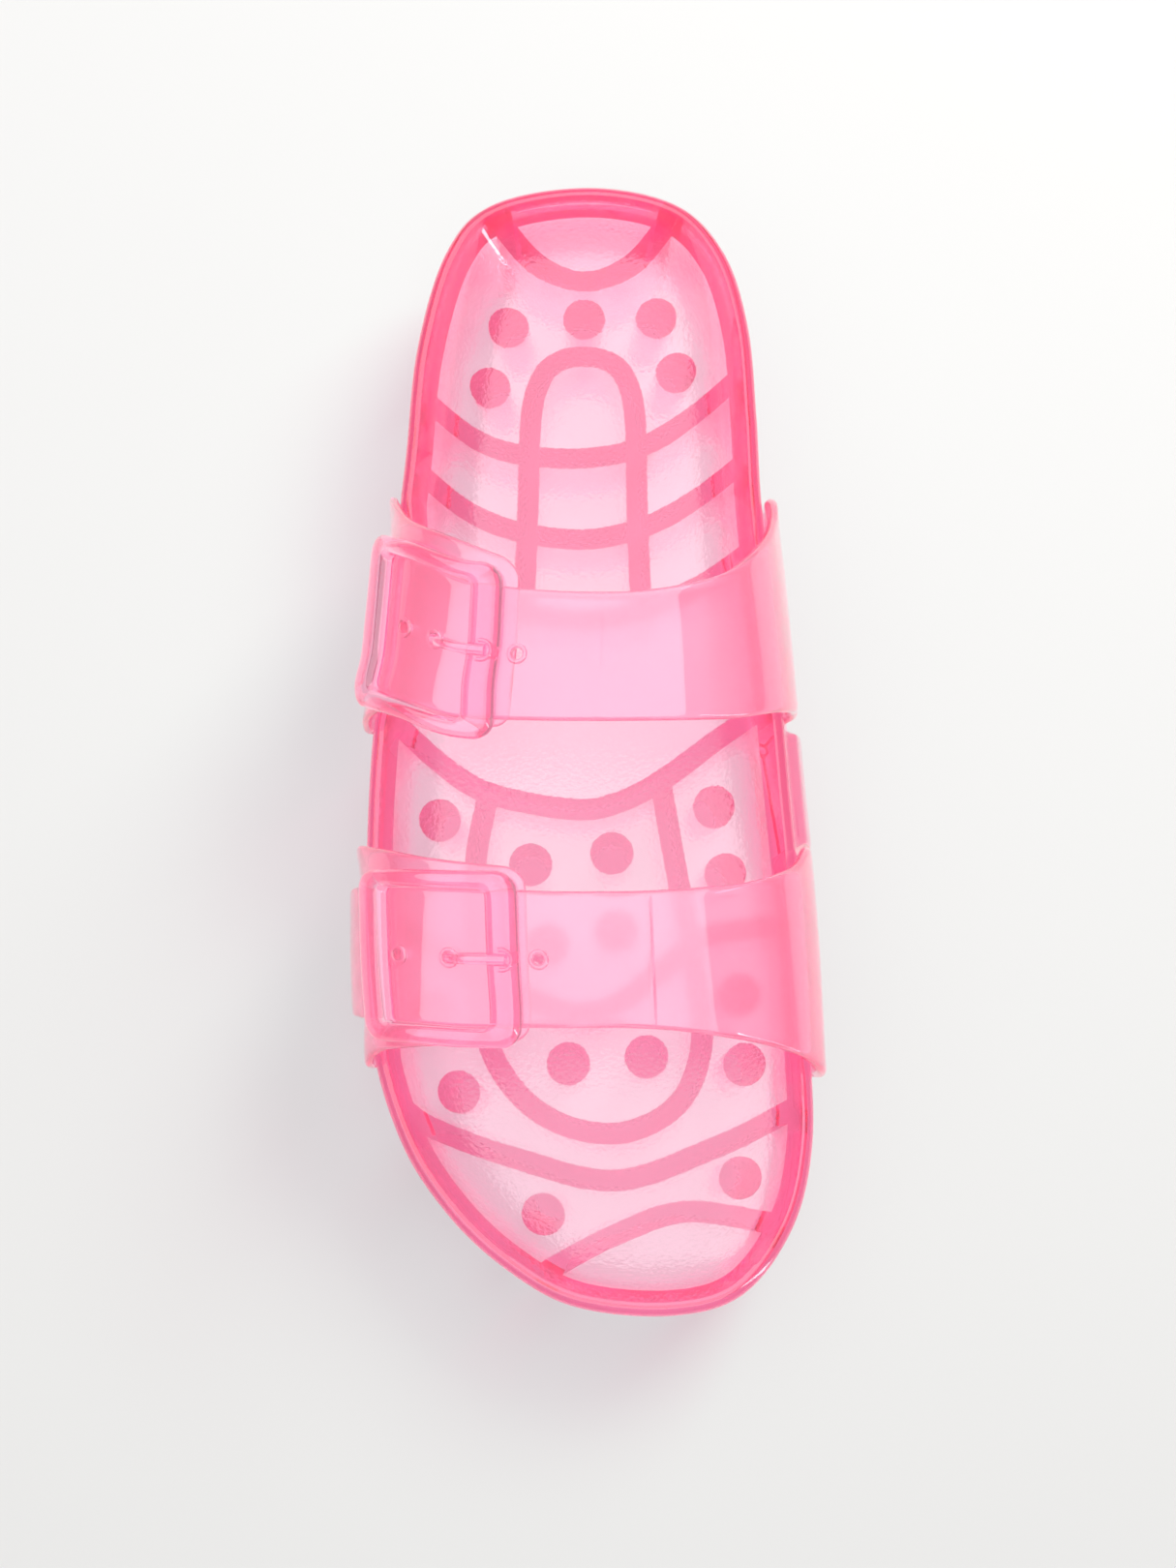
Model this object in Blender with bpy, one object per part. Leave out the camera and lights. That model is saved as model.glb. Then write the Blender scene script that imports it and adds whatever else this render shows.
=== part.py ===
"""Right two-strap jelly slide sandal, moulded in clear pink PVC.

Units are metres, +Z is up and the toe points along -Y, so the inner (big toe) side is at +X.
The origin is the centre of the object's box, on the plane that it stands on.
"""
import math
from functools import lru_cache

import bmesh
import bpy
import numpy as np
from mathutils import Vector
from mathutils.geometry import delaunay_2d_cdt

# Sole
SOLE_LENGTH = 0.278
SOLE_WIDTH = 0.108
RIM_HEIGHT = 0.040          # lip above the floor at the heel
BED_HEIGHT = 0.021          # footbed above the floor under the ball
TOE_SPRING = 0.008          # lift of the underside at the tip of the toe
ARCH_LIFT = 0.004           # extra height of the rim along the inner arch
ARCH_SPAN = (0.05, 0.13)    # its middle and reach, as shares of SOLE_LENGTH
ARCH_SIDE = 0.4             # share of SOLE_WIDTH over which it fades out towards the outer side
WALL = 0.0055               # side wall, from the rim's edge to the open cells
SKIN = 0.0034               # footbed over the cells
LEAN = 0.0040               # how far the side wall leans in at the floor
FLARE = 0.0052              # how far the wall swells out between the straps, inner side
LIP_DROP = 0.0026           # from the lip's crest down to the rim's widest edge
LIP_CREST = 0.0028          # from the rim's edge in to the lip's crest
CUP_WIDTH = 0.021           # from the rim's edge in to the flat of the footbed
RIB_WIDTH = 0.0046
PILLAR_RADIUS = 0.0053
PILLAR_FOOT_RADIUS = 0.0044

# Straps
CREST_HEIGHT = 0.0760       # inside of the straps over the ball's end of the instep
CREST_ALONG = 0.030         # where the foot's form has that height, from the sole's middle
INSTEP_SLOPE = 0.22         # fall of the foot's form towards the toe
CREST_SHIFT = 0.003         # the instep's ridge lies towards the big toe
ROOT_HEIGHT = 0.013         # lower end of the straps on the side wall, above the floor
STRAP_THICKNESS = 0.0024
FLAP_THICKNESS = 0.0022
SEAT_DEPTH = 0.0015         # recess of the outer wall behind the tail of each strap
SEAT_SLOPE = 0.0120         # run-out of that recess at its two ends
HOLE_RADIUS = 0.0013
GAP = 0.0003                # between pieces that touch on the real sandal

# Buckles
FRAME_ACROSS = 0.039        # along the strap
FRAME_LENGTH = 0.040        # across the strap
FRAME_HEIGHT = 0.0038
FRAME_BAR = 0.0074          # the two bars that cross the strap
FRAME_SIDE = 0.0043         # the two bars beside the strap
FRAME_CORNER = 0.0050
WINDOW_CORNER = 0.0018
PRONG_RADIUS = 0.0012
PRONG_REACH = 0.0130        # from its hole to the middle of the bar that it rests on

# Section of the frame's bars. (share, level): from outer edge to window, and of FRAME_HEIGHT
FRAME_SECTION = ((0.00, 0.00), (0.00, 0.45), (0.10, 0.80), (0.30, 1.00), (0.60, 1.00),
                 (0.88, 0.78), (1.00, 0.35), (1.00, 0.00))
# Bends of the prong up out of its hole and over to the bar.
# (back, drop): how far past the hole, and below the bar's groove, in shares of PRONG_RADIUS
PRONG_BENDS = ((2.2, 0.6), (4.0, 0.0))
PRONG_SINK = 0.4            # depth of the groove in the bar, as a share of PRONG_RADIUS

# Fineness of the meshes
OUTLINE_POINTS = 100
BED_GRID = 0.0135
STRAP_ROWS = 20
STRAP_COLUMNS = 8
ROOT_ROWS = (0.0, 0.10, 0.18, 0.26, 0.34, 0.42, 0.55, 0.75, 1.0)  # shares of FULL_DROP

PINK = (1.0, 0.42, 0.60, 1.0)

# Rim's edge from above, from the heel round the inner side.
# (across, along): shares of SOLE_WIDTH and SOLE_LENGTH from the sole's middle
OUTLINE = (
    (0.000, 0.500), (0.202, 0.484), (0.313, 0.439), (0.367, 0.371), (0.385, 0.288),
    (0.394, 0.209), (0.419, 0.101), (0.450, -0.036), (0.478, -0.151), (0.492, -0.261),
    (0.496, -0.353), (0.450, -0.426), (0.338, -0.483), (0.180, -0.501), (-0.032, -0.493),
    (-0.185, -0.460), (-0.311, -0.414), (-0.413, -0.353), (-0.481, -0.266), (-0.497, -0.158),
    (-0.489, -0.022), (-0.452, 0.122), (-0.417, 0.245), (-0.392, 0.349), (-0.327, 0.439),
    (-0.220, 0.484),
)

# Heights along the sole.
# (along, rim, bed, spring): shares of SOLE_LENGTH, RIM_HEIGHT, BED_HEIGHT and TOE_SPRING
SECTIONS = (
    (-0.505, 0.80, 1.26, 1.00),
    (-0.430, 0.74, 1.08, 0.42),
    (-0.330, 0.71, 0.98, 0.00),
    (-0.150, 0.73, 0.98, 0.00),
    (0.020, 0.84, 1.12, 0.16),
    (0.150, 0.92, 1.20, 0.16),
    (0.290, 0.96, 1.20, 0.00),
    (0.505, 1.00, 1.28, 0.00),
)

# Side wall from the rim's edge down to the floor. The swell lies between the straps and the
# skirt runs along the whole inner arch, below the roots of the straps.
# (height, lean, swell, skirt): shares of the wall's height, LEAN, FLARE and FLARE
SIDE_PROFILE = (
    (1.00, 0.00, 0.00, 0.00),
    (0.90, 0.03, 0.04, 0.00),
    (0.80, 0.26, 0.62, 0.00),
    (0.45, 0.54, 1.00, 0.00),
    (0.20, 0.76, 1.00, 0.62),
    (0.06, 0.90, 1.00, 0.70),
    (0.00, 1.06, 0.88, 0.58),
)
SKIRT = (-0.34, 0.26)       # ends of the skirt, as shares of SOLE_LENGTH
SKIRT_FULL = 0.25           # share of its half length where it has its full size

# Rings over the lip and down the dish, in from the rim's edge.
# (lip, cup, drop): shares of LIP_CREST and CUP_WIDTH that add up, and of LIP_DROP
LIP_AND_DISH = (
    (0.40, 0.00, 0.20),
    (1.00, 0.00, 0.00),
    (1.00, 0.17, 0.00),
    (0.00, 0.60, 0.00),
    (0.00, 1.00, 0.00),
)

# Ribs under the footbed, as the centre lines of strips of RIB_WIDTH.
# (across, along): shares of SOLE_WIDTH and SOLE_LENGTH
RIBS = {
    "heel_arc": ((-0.259, 0.489), (-0.204, 0.471), (-0.107, 0.442), (-0.006, 0.430),
                 (0.096, 0.443), (0.185, 0.471), (0.241, 0.489)),
    "cross_back": ((-0.389, 0.306), (-0.259, 0.279), (-0.148, 0.266), (-0.009, 0.263),
                   (0.120, 0.273), (0.241, 0.300), (0.370, 0.329)),
    "cross_middle": ((-0.398, 0.239), (-0.278, 0.212), (-0.157, 0.194), (-0.009, 0.187),
                     (0.125, 0.198), (0.241, 0.221), (0.380, 0.250)),
    "cross_front": ((-0.417, 0.162), (-0.287, 0.137), (-0.167, 0.121), (-0.009, 0.113),
                    (0.130, 0.122), (0.250, 0.142), (0.398, 0.169)),
    "horseshoe": ((-0.148, 0.113), (-0.139, 0.209), (-0.132, 0.302), (-0.106, 0.340),
                  (-0.065, 0.355), (-0.010, 0.359), (0.044, 0.355), (0.085, 0.340),
                  (0.109, 0.302), (0.114, 0.209), (0.123, 0.113)),
    "forefoot_arc": ((-0.463, 0.022), (-0.333, -0.018), (-0.222, -0.043), (-0.031, -0.057),
                     (0.074, -0.050), (0.176, -0.029), (0.296, 0.004), (0.444, 0.032)),
    "forefoot_loop": ((-0.228, -0.045), (-0.255, -0.106), (-0.250, -0.187), (-0.216, -0.272),
                      (-0.103, -0.326), (0.061, -0.343), (0.199, -0.318), (0.255, -0.266),
                      (0.241, -0.198), (0.208, -0.128), (0.166, -0.035)),
    "wave_middle": ((-0.481, -0.155), (-0.366, -0.176), (-0.219, -0.209), (-0.053, -0.236),
                    (0.056, -0.231), (0.163, -0.200), (0.273, -0.169), (0.481, -0.162)),
    "toe_wave": ((-0.417, -0.324), (-0.352, -0.340), (-0.167, -0.364), (0.061, -0.384),
                 (0.285, -0.355), (0.481, -0.320)),
    "toe_arc": ((-0.120, -0.475), (-0.071, -0.460), (0.069, -0.430), (0.224, -0.411),
                (0.444, -0.426)),
}

# Round pillars in the cells. (across, along): shares of SOLE_WIDTH and SOLE_LENGTH
PILLARS = (
    (-0.187, 0.386), (-0.230, 0.329), (0.161, 0.395), (0.207, 0.343), (-0.009, 0.394),
    (-0.338, -0.067), (-0.130, -0.106), (0.054, -0.096), (0.288, -0.055), (0.313, -0.115),
    (-0.092, -0.177), (0.062, -0.165), (0.342, -0.222), (-0.347, -0.237), (-0.290, -0.307),
    (-0.044, -0.282), (0.131, -0.276), (0.352, -0.283), (0.340, -0.382), (-0.100, -0.414),
)

# Edges of the straps and flaps round the foot. The angle is 0 at the rim of the inner side,
# 90 at the ridge and 180 at the rim of the outer side, and beyond those it goes down the wall.
# (angle, toe_edge, heel_edge): degrees, and shares of SOLE_LENGTH from the sole's middle
STRAPS = {
    "strap_rear": ((-20, 0.022, 0.199), (0, 0.013, 0.208), (12, 0.008, 0.177),
                   (30, 0.000, 0.145), (60, -0.014, 0.102), (90, -0.018, 0.087),
                   (115, -0.014, 0.097), (135, 0.004, 0.122), (155, 0.020, 0.142),
                   (180, 0.050, 0.172), (196, 0.058, 0.170)),
    "strap_front": ((-20, -0.289, -0.105), (0, -0.297, -0.100), (30, -0.286, -0.129),
                    (60, -0.275, -0.149), (90, -0.267, -0.156), (115, -0.266, -0.152),
                    (135, -0.261, -0.147), (155, -0.255, -0.142), (180, -0.244, -0.137),
                    (196, -0.239, -0.140)),
}
FLAPS = {
    "flap_rear": ((104, -0.025, 0.112), (125, -0.011, 0.137), (150, 0.004, 0.165),
                  (168, 0.004, 0.194), (180, 0.004, 0.209), (200, 0.016, 0.200)),
    "flap_front": ((102, -0.279, -0.137), (125, -0.280, -0.127), (150, -0.280, -0.112),
                   (180, -0.289, -0.099), (200, -0.280, -0.108)),
}
ARCH_POWER = 0.75           # 1 is an ellipse, less is squarer
FULL_DROP = 20.0            # degrees below the rim that stand for the whole root
RAMP = (22.0, 5.0)          # degrees before the flap's end where the strap climbs over it
ROOT_SWELL = 0.40           # extra thickness of the strap where it leaves the inner wall
ROOT_SWELL_SPAN = (-2, 18)  # degrees over which that thickness fades out
ROOT_THINNING = 0.60        # loss of thickness of the strap at the lower end of its root
FLAP_THINNING = 0.30        # the same for the flap
FLAP_TIP = (0.55, 10)       # share of its thickness at the flap's free end, and degrees to full
END_CORNER = 0.005          # round corners of the free ends of straps and flaps
EDGE_BEVEL = 0.25           # reach of the edges' bevel, as a share of the thickness
EDGE_LEVELS = (0.35, 0.70)  # shares of the thickness between which an edge is upright
TIP_STEPS = (0, 0.8, 2.4, 5, 9)    # degrees from a flap's free end, close together at its corners
BUCKLE_CENTRE = {"rear": 130.0, "front": 125.0}
HOLES = {"rear": (0.0095, -0.0205), "front": (0.0130, -0.0210)}   # round from the prong's hole


@lru_cache(maxsize=None)
def column(table, at, index):
    """Smooth value of one column of a table at a place, with no overshoot between rows."""
    rows = sorted(table)
    places = [row[0] for row in rows]
    values = [row[index] for row in rows]
    slopes = [(b - a) / (q - p) for a, b, p, q in zip(values, values[1:], places, places[1:])]
    ends = [slopes[0]] + [2 * a * b / (a + b) if a * b > 0 else 0.0
                          for a, b in zip(slopes, slopes[1:])] + [slopes[-1]]
    at = min(max(at, places[0]), places[-1])
    k = max(sum(place < at for place in places) - 1, 0)
    step = places[k + 1] - places[k]
    t = (at - places[k]) / step
    return ((2 * t**3 - 3 * t**2 + 1) * values[k] + (t**3 - 2 * t**2 + t) * step * ends[k]
            + (3 * t**2 - 2 * t**3) * values[k + 1] + (t**3 - t**2) * step * ends[k + 1])


def smoothstep(low, high, value):
    """0 below low, 1 above high, and a soft slope between."""
    t = min(max((value - low) / (high - low), 0.0), 1.0)
    return t * t * (3 - 2 * t)


def curve_through(points, closed, steps=12):
    """Dense points of a smooth curve through a few chosen ones."""
    points = np.array(points, float)
    count = len(points)
    dense = []
    for i in range(count if closed else count - 1):
        if closed:
            a, b, c, d = (points[(i + k) % count] for k in (-1, 0, 1, 2))
        else:
            b, c = points[i], points[i + 1]
            a = points[i - 1] if i else 2 * b - c
            d = points[i + 2] if i + 2 < count else 2 * c - b
        for t in np.arange(steps) / steps:
            dense.append(0.5 * (2 * b + (c - a) * t + (2 * a - 5 * b + 4 * c - d) * t**2
                                + (3 * b - a - 3 * c + d) * t**3))
    if not closed:
        dense.append(points[-1])
    return np.array(dense)


def spaced(points, closed, count):
    """The same curve with evenly spaced points."""
    if closed:
        points = np.vstack([points, points[:1]])
    run = np.concatenate([[0], np.cumsum(np.linalg.norm(np.diff(points, axis=0), axis=1))])
    places = np.linspace(0, run[-1], count + 1)[:-1] if closed else np.linspace(0, run[-1], count)
    return np.column_stack([np.interp(places, run, points[:, k]) for k in range(2)])


def on_sole(point):
    return np.array([point[0] * SOLE_WIDTH, point[1] * SOLE_LENGTH])


def recessed(loop):
    """The rim's edge, drawn in where flap and strap tail lie one over the other on the wall."""
    seated = []
    for across, along in loop:
        share = 0.0
        for table in STRAPS.values():
            toe, heel = (column(table, 180, k) * SOLE_LENGTH for k in (1, 2))
            share += (smoothstep(toe - SEAT_SLOPE, toe, along)
                      * (1 - smoothstep(heel, heel + SEAT_SLOPE, along)))
        seated.append((across + (SEAT_DEPTH * share if across < 0 else 0.0), along))
    return np.array(seated)


EDGE = recessed(spaced(curve_through([on_sole(p) for p in OUTLINE], True), True, OUTLINE_POINTS))
EDGE_RUN = np.roll(EDGE, -1, axis=0) - np.roll(EDGE, 1, axis=0)
EDGE_RUN /= np.linalg.norm(EDGE_RUN, axis=1)[:, None]
EDGE_IN = np.column_stack([EDGE_RUN[:, 1], -EDGE_RUN[:, 0]])


def from_edge(point):
    """Distance in from the rim's edge, and the direction inwards there."""
    start, run = EDGE, np.roll(EDGE, -1, axis=0) - EDGE
    share = np.clip(((point - start) * run).sum(1) / (run * run).sum(1), 0, 1)
    nearest = start + share[:, None] * run
    gaps = np.linalg.norm(point - nearest, axis=1)
    k = int(gaps.argmin())
    inward = EDGE_IN[k] * (1 - share[k]) + EDGE_IN[(k + 1) % len(EDGE)] * share[k]
    side = 1 if np.dot(point - nearest[k], inward) >= 0 else -1
    return gaps[k] * side, inward


def rim_height(point):
    along = point[1] / SOLE_LENGTH
    middle, reach = ARCH_SPAN
    arch = (math.exp(-((along - middle) / reach) ** 2)
            * smoothstep(0, ARCH_SIDE * SOLE_WIDTH, point[0]))
    return RIM_HEIGHT * column(SECTIONS, along, 1) + ARCH_LIFT * arch


def ground_height(point):
    return TOE_SPRING * column(SECTIONS, point[1] / SOLE_LENGTH, 3)


def bed_height(point):
    """Top of the footbed, dished up to the lip all round."""
    depth = from_edge(point)[0]
    bed = BED_HEIGHT * column(SECTIONS, point[1] / SOLE_LENGTH, 2)
    rise = max(0.0, 1 - max(depth - LIP_CREST, 0) / (CUP_WIDTH - LIP_CREST)) ** 2
    return bed + (rim_height(point) - bed) * rise


def swell(point):
    """Share of the inner wall's swelling, which fills the stretch between the two straps."""
    if point[0] < 0:
        return 0.0
    rear = column(STRAPS["strap_rear"], 0, 1) * SOLE_LENGTH - STRAP_THICKNESS
    front = column(STRAPS["strap_front"], 0, 2) * SOLE_LENGTH + STRAP_THICKNESS
    soft = 1.5 * FLARE
    return (smoothstep(front, front + soft, point[1])
            * (1 - smoothstep(rear - soft, rear, point[1])))


def skirt(point):
    """Share of the low skirt along the inner arch."""
    middle, half = sum(SKIRT) / 2, (SKIRT[1] - SKIRT[0]) / 2
    reach = abs(point[1] / SOLE_LENGTH - middle) / half
    return 1 - smoothstep(SKIRT_FULL, 1.0, reach) if point[0] > 0 else 0.0


def wall_point(index, row):
    """Corner of the side wall below the rim's edge."""
    height, lean, bulge, low = row
    point = EDGE[index]
    share = swell(point)
    shift = ((1 - share) * (LEAN * lean - (FLARE + LEAN) * low * skirt(point))
             - share * FLARE * bulge)
    floor = ground_height(point)
    top = rim_height(point) - LIP_DROP
    return (*(point + EDGE_IN[index] * shift), floor + height * (top - floor))


def foot_of(point):
    """Where a point of the plan lies at floor level: the walls and ribs lean in with the rim."""
    depth, inward = from_edge(point)
    shift = LEAN * (1 - smoothstep(WALL, 2 * CUP_WIDTH, depth))
    return point + inward * shift * (1 - swell(point) * (1 - smoothstep(0, WALL, depth)))


def strip(points):
    """Outline of a rib, with its ends kept inside the side wall."""
    centre = spaced(curve_through([on_sole(p) for p in points], False), False,
                    3 * len(points))
    run = np.gradient(centre, axis=0)
    run /= np.linalg.norm(run, axis=1)[:, None]
    side = np.column_stack([run[:, 1], -run[:, 0]]) * RIB_WIDTH / 2
    loop = []
    for point in np.vstack([centre + side, (centre - side)[::-1]]):
        depth, inward = from_edge(point)
        loop.append(point + inward * max(0.0, WALL / 2 - depth))
    return np.array(loop)


def ring(centre, radius, count=10):
    angles = np.arange(count) * 2 * math.pi / count
    return centre + radius * np.column_stack([np.cos(angles), np.sin(angles)])


def inside(loop, points):
    """Which points lie inside a closed loop."""
    hits = np.zeros(len(points), bool)
    for a, b in zip(loop, np.roll(loop, -1, axis=0)):
        crosses = (a[1] > points[:, 1]) != (b[1] > points[:, 1])
        with np.errstate(divide="ignore", invalid="ignore"):
            x = a[0] + (points[:, 1] - a[1]) * (b[0] - a[0]) / (b[1] - a[1])
        hits ^= crosses & (points[:, 0] < x)
    return hits


def triangulate(loops, loose):
    """Plan triangles between closed loops, with loose points inside them.

    The last list says which point of the first loop each corner is, or None.
    """
    corners, edges = [], []
    for loop in loops:
        first = len(corners)
        corners += [Vector(p) for p in loop]
        edges += [(first + i, first + (i + 1) % len(loop)) for i in range(len(loop))]
    corners += [Vector(p) for p in loose]
    result = delaunay_2d_cdt(corners, edges, [], 1, 1e-6)
    first = [min((i for i in ids if i < len(loops[0])), default=None) for ids in result[3]]
    return np.array([tuple(p) for p in result[0]]), [tuple(f) for f in result[2]], first


def bed_grid(depth_limit, keep_off, clearance):
    """Evenly spread points in the plan, clear of the given loops."""
    points = []
    walls = np.vstack(keep_off) if keep_off else None
    for x in np.arange(-SOLE_WIDTH, SOLE_WIDTH, BED_GRID):
        for y in np.arange(-SOLE_LENGTH, SOLE_LENGTH, BED_GRID):
            point = np.array([x, y])
            if from_edge(point)[0] < depth_limit:
                continue
            if walls is not None and np.linalg.norm(walls - point, axis=1).min() < clearance:
                continue
            points.append(point)
    return points


def make_object(name, corners, faces, smooth_angle=math.radians(40)):
    """Closed solid from corners and faces, facing out, with its own clear pink material."""
    mesh = bpy.data.meshes.new(name)
    mesh.from_pydata([tuple(c) for c in corners], [], faces)
    shape = bmesh.new()
    shape.from_mesh(mesh)
    bmesh.ops.remove_doubles(shape, verts=shape.verts, dist=1e-7)
    bmesh.ops.recalc_face_normals(shape, faces=shape.faces)
    shape.to_mesh(mesh)
    shape.free()
    mesh.shade_smooth()
    mesh.set_sharp_from_angle(angle=smooth_angle)
    piece = bpy.data.objects.new(name, mesh)
    bpy.context.collection.objects.link(piece)
    piece.parent = sandal
    material = bpy.data.materials.new(name)
    material.use_nodes = True
    shader = material.node_tree.nodes["Principled BSDF"]
    shader.inputs["Base Color"].default_value = PINK
    shader.inputs["Roughness"].default_value = 0.12
    shader.inputs["Metallic"].default_value = 0.0
    shader.inputs["Transmission Weight"].default_value = 1.0
    shader.inputs["IOR"].default_value = 1.5
    mesh.materials.append(material)
    return piece


def make_sole():
    """Footbed, rim and side wall, with ribs and pillars between open cells underneath."""
    corners, faces, index = [], [], {}

    def corner(key, place):
        if key not in index:
            index[key] = len(corners)
            corners.append(tuple(place))
        return index[key]

    wall_line = EDGE + EDGE_IN * WALL
    ribs = [strip(points) for points in RIBS.values()]
    pillars = [on_sole(p) for p in PILLARS]
    circles = [ring(p, PILLAR_RADIUS) for p in pillars]
    loose = bed_grid(WALL, [wall_line] + ribs + circles, BED_GRID / 2)
    plan, triangles, edge_number = triangulate([EDGE, wall_line] + ribs + circles, loose)

    middles = np.array([plan[list(face)].mean(0) for face in triangles])
    in_cell = inside(wall_line, middles)
    for rib in ribs:
        in_cell &= ~inside(rib, middles)
    in_pillar = np.zeros(len(middles), bool)
    for circle in circles:
        in_pillar |= inside(circle, middles)
    in_cell &= ~in_pillar

    def low(vertex):
        """Corner on the floor, under a wall, rib or pillar."""
        point = plan[vertex]
        number = edge_number[vertex]
        if number is not None:
            return corner(("wall", number, len(SIDE_PROFILE) - 1),
                          wall_point(number, SIDE_PROFILE[-1]))
        foot = foot_of(point)
        for centre in pillars:
            if np.linalg.norm(point - centre) < PILLAR_RADIUS * 1.01:
                foot = foot_of(centre) + (point - centre) * PILLAR_FOOT_RADIUS / PILLAR_RADIUS
        return corner(("low", vertex), (*foot, ground_height(point)))

    def high(vertex):
        """Corner of a cell's ceiling, a skin's thickness under the footbed."""
        point = plan[vertex]
        return corner(("high", vertex), (*point, bed_height(point) - SKIN))

    sides = {}
    for face, open_cell in zip(triangles, in_cell):
        level = high if open_cell else low
        faces.append([level(v) for v in face])
        for a, b in zip(face, face[1:] + face[:1]):
            sides.setdefault(tuple(sorted((a, b))), []).append(open_cell)
    for (a, b), cells in sides.items():
        if len(cells) == 2 and cells[0] != cells[1]:
            faces.append([low(a), low(b), high(b), high(a)])

    # The side wall, the lip and the dish are rings round the rim.
    count = len(EDGE)
    rings = [[corner(("wall", i, k), wall_point(i, row)) for i in range(count)]
             for k, row in reversed(list(enumerate(SIDE_PROFILE)))]
    for number, (lip, cup, drop) in enumerate(LIP_AND_DISH):
        loop = EDGE + EDGE_IN * (lip * LIP_CREST + cup * CUP_WIDTH)
        rings.append([corner(("dish", number, i), (*p, bed_height(p) - drop * LIP_DROP))
                      for i, p in enumerate(loop)])
    for below, above in zip(rings, rings[1:]):
        for i in range(count):
            j = (i + 1) % count
            faces.append([below[i], below[j], above[j], above[i]])

    bed_loop = EDGE + EDGE_IN * CUP_WIDTH
    loose = bed_grid(CUP_WIDTH, [bed_loop], BED_GRID / 2)
    plan_top, triangles_top, ring_number = triangulate([bed_loop], loose)
    for face in triangles_top:
        loop = []
        for v in face:
            number = ring_number[v]
            if number is None:
                loop.append(corner(("bed", v), (*plan_top[v], bed_height(plan_top[v]))))
            else:
                loop.append(rings[-1][number])
        faces.append(loop)
    make_object("sole", corners, faces)


SIDE_RINGS = [np.array([wall_point(i, row) for i in range(OUTLINE_POINTS)])
              for row in SIDE_PROFILE]
SIDE_HALVES = {side: [half[half[:, 1].argsort()] for half in
                      (loop[loop[:, 0] * side > 0] for loop in SIDE_RINGS)]
               for side in (1, -1)}


@lru_cache(maxsize=None)
def wall_section(along, side):
    """Outer face of the sole's wall at a place along it, from the floor up."""
    halves = SIDE_HALVES[side][::-1]
    return ([float(np.interp(along, half[:, 1], half[:, 2])) for half in halves],
            [float(np.interp(along, half[:, 1], half[:, 0])) for half in halves])


def wall_x(along, height, side):
    """Outer face of the sole's wall at a place along it and a height, and the rim's height."""
    heights, places = wall_section(along, side)
    return float(np.interp(height, heights, places)), heights[-1]


def foot_form(angle, along):
    """Point of the form that the straps lie on: down the wall, up and over the instep."""
    top = CREST_HEIGHT + INSTEP_SLOPE * (along - CREST_ALONG)
    side = 1 if angle < 90 else -1
    edge, rim = wall_x(along, 1.0, side)
    if angle < 0 or angle > 180:
        share = max(-angle, angle - 180) / FULL_DROP
        height = rim + share * (ROOT_HEIGHT - rim)
        return np.array([wall_x(along, height, side)[0] + side * GAP, along, height])
    inner, outer = wall_x(along, 1.0, 1)[0] + GAP, wall_x(along, 1.0, -1)[0] - GAP
    ridge = (inner + outer) / 2 + CREST_SHIFT
    turn = math.radians(angle)
    reach = abs(edge + side * GAP - ridge)
    return np.array([ridge + side * reach * abs(math.cos(turn)) ** ARCH_POWER, along,
                     rim + (top - rim) * abs(math.sin(turn)) ** ARCH_POWER])


def outward(angle, along):
    """Unit direction out of the foot's form."""
    if angle <= 0 or angle >= 180:
        return np.array([1.0 if angle < 90 else -1.0, 0, 0])
    round_foot = foot_form(min(angle + 1, 180), along) - foot_form(max(angle - 1, 0), along)
    down_foot = foot_form(angle, along + 0.001) - foot_form(angle, along - 0.001)
    normal = np.cross(down_foot, round_foot)
    return normal / np.linalg.norm(normal)


def on_strap(table, angle, across, height):
    """Place on a strap: across is 0 at its toe edge and 1 at its heel edge."""
    toe = column(table, angle, 1) * SOLE_LENGTH
    heel = column(table, angle, 2) * SOLE_LENGTH
    along = toe + across * (heel - toe)
    return foot_form(angle, along) + outward(angle, along) * height


def leaf(name, table, angles, base, thickness, corner_radius, round_last):
    """Strap or flap: a curved wall on the foot's form, with one rounded free end."""
    lengths = [np.linalg.norm(on_strap(table, b, 0.5, 0) - on_strap(table, a, 0.5, 0))
               for a, b in zip(angles, angles[1:])]
    run = np.concatenate([[0], np.cumsum(lengths)])
    left = run[-1] - run if round_last else run
    corners, faces = [], []
    for angle, rest in zip(angles, left):
        width = (column(table, angle, 2) - column(table, angle, 1)) * SOLE_LENGTH
        cut = max(0.0, corner_radius - rest)
        inset = (corner_radius - math.sqrt(corner_radius**2 - cut**2)) / width
        bevel = EDGE_BEVEL * thickness(angle) / width
        low = base(angle)
        high = low + thickness(angle)
        across = np.linspace(inset, 1 - inset, STRAP_COLUMNS)
        row = [(t, low) for t in across]
        row += [(1 - inset + bevel, low + share * (high - low)) for share in EDGE_LEVELS]
        row += [(t, high) for t in across[::-1]]
        row += [(inset - bevel, low + share * (high - low)) for share in EDGE_LEVELS[::-1]]
        corners += [on_strap(table, angle, t, h) for t, h in row]
    size = len(row)
    for k in range(len(angles) - 1):
        for i in range(size):
            j = (i + 1) % size
            faces.append([k * size + i, k * size + j, (k + 1) * size + j, (k + 1) * size + i])
    for start in (0, (len(angles) - 1) * size):
        for i in range(STRAP_COLUMNS - 1):
            mirror = 2 * STRAP_COLUMNS + 1 - i
            faces.append([start + i, start + i + 1, start + mirror - 1, start + mirror])
        n = STRAP_COLUMNS
        faces.append([start + n - 1, start + n, start + n + 1, start + n + 2])
        faces.append([start, start + 2 * n + 3, start + 2 * n + 2, start + 2 * n + 1])
    return make_object(name, corners, faces)


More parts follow.
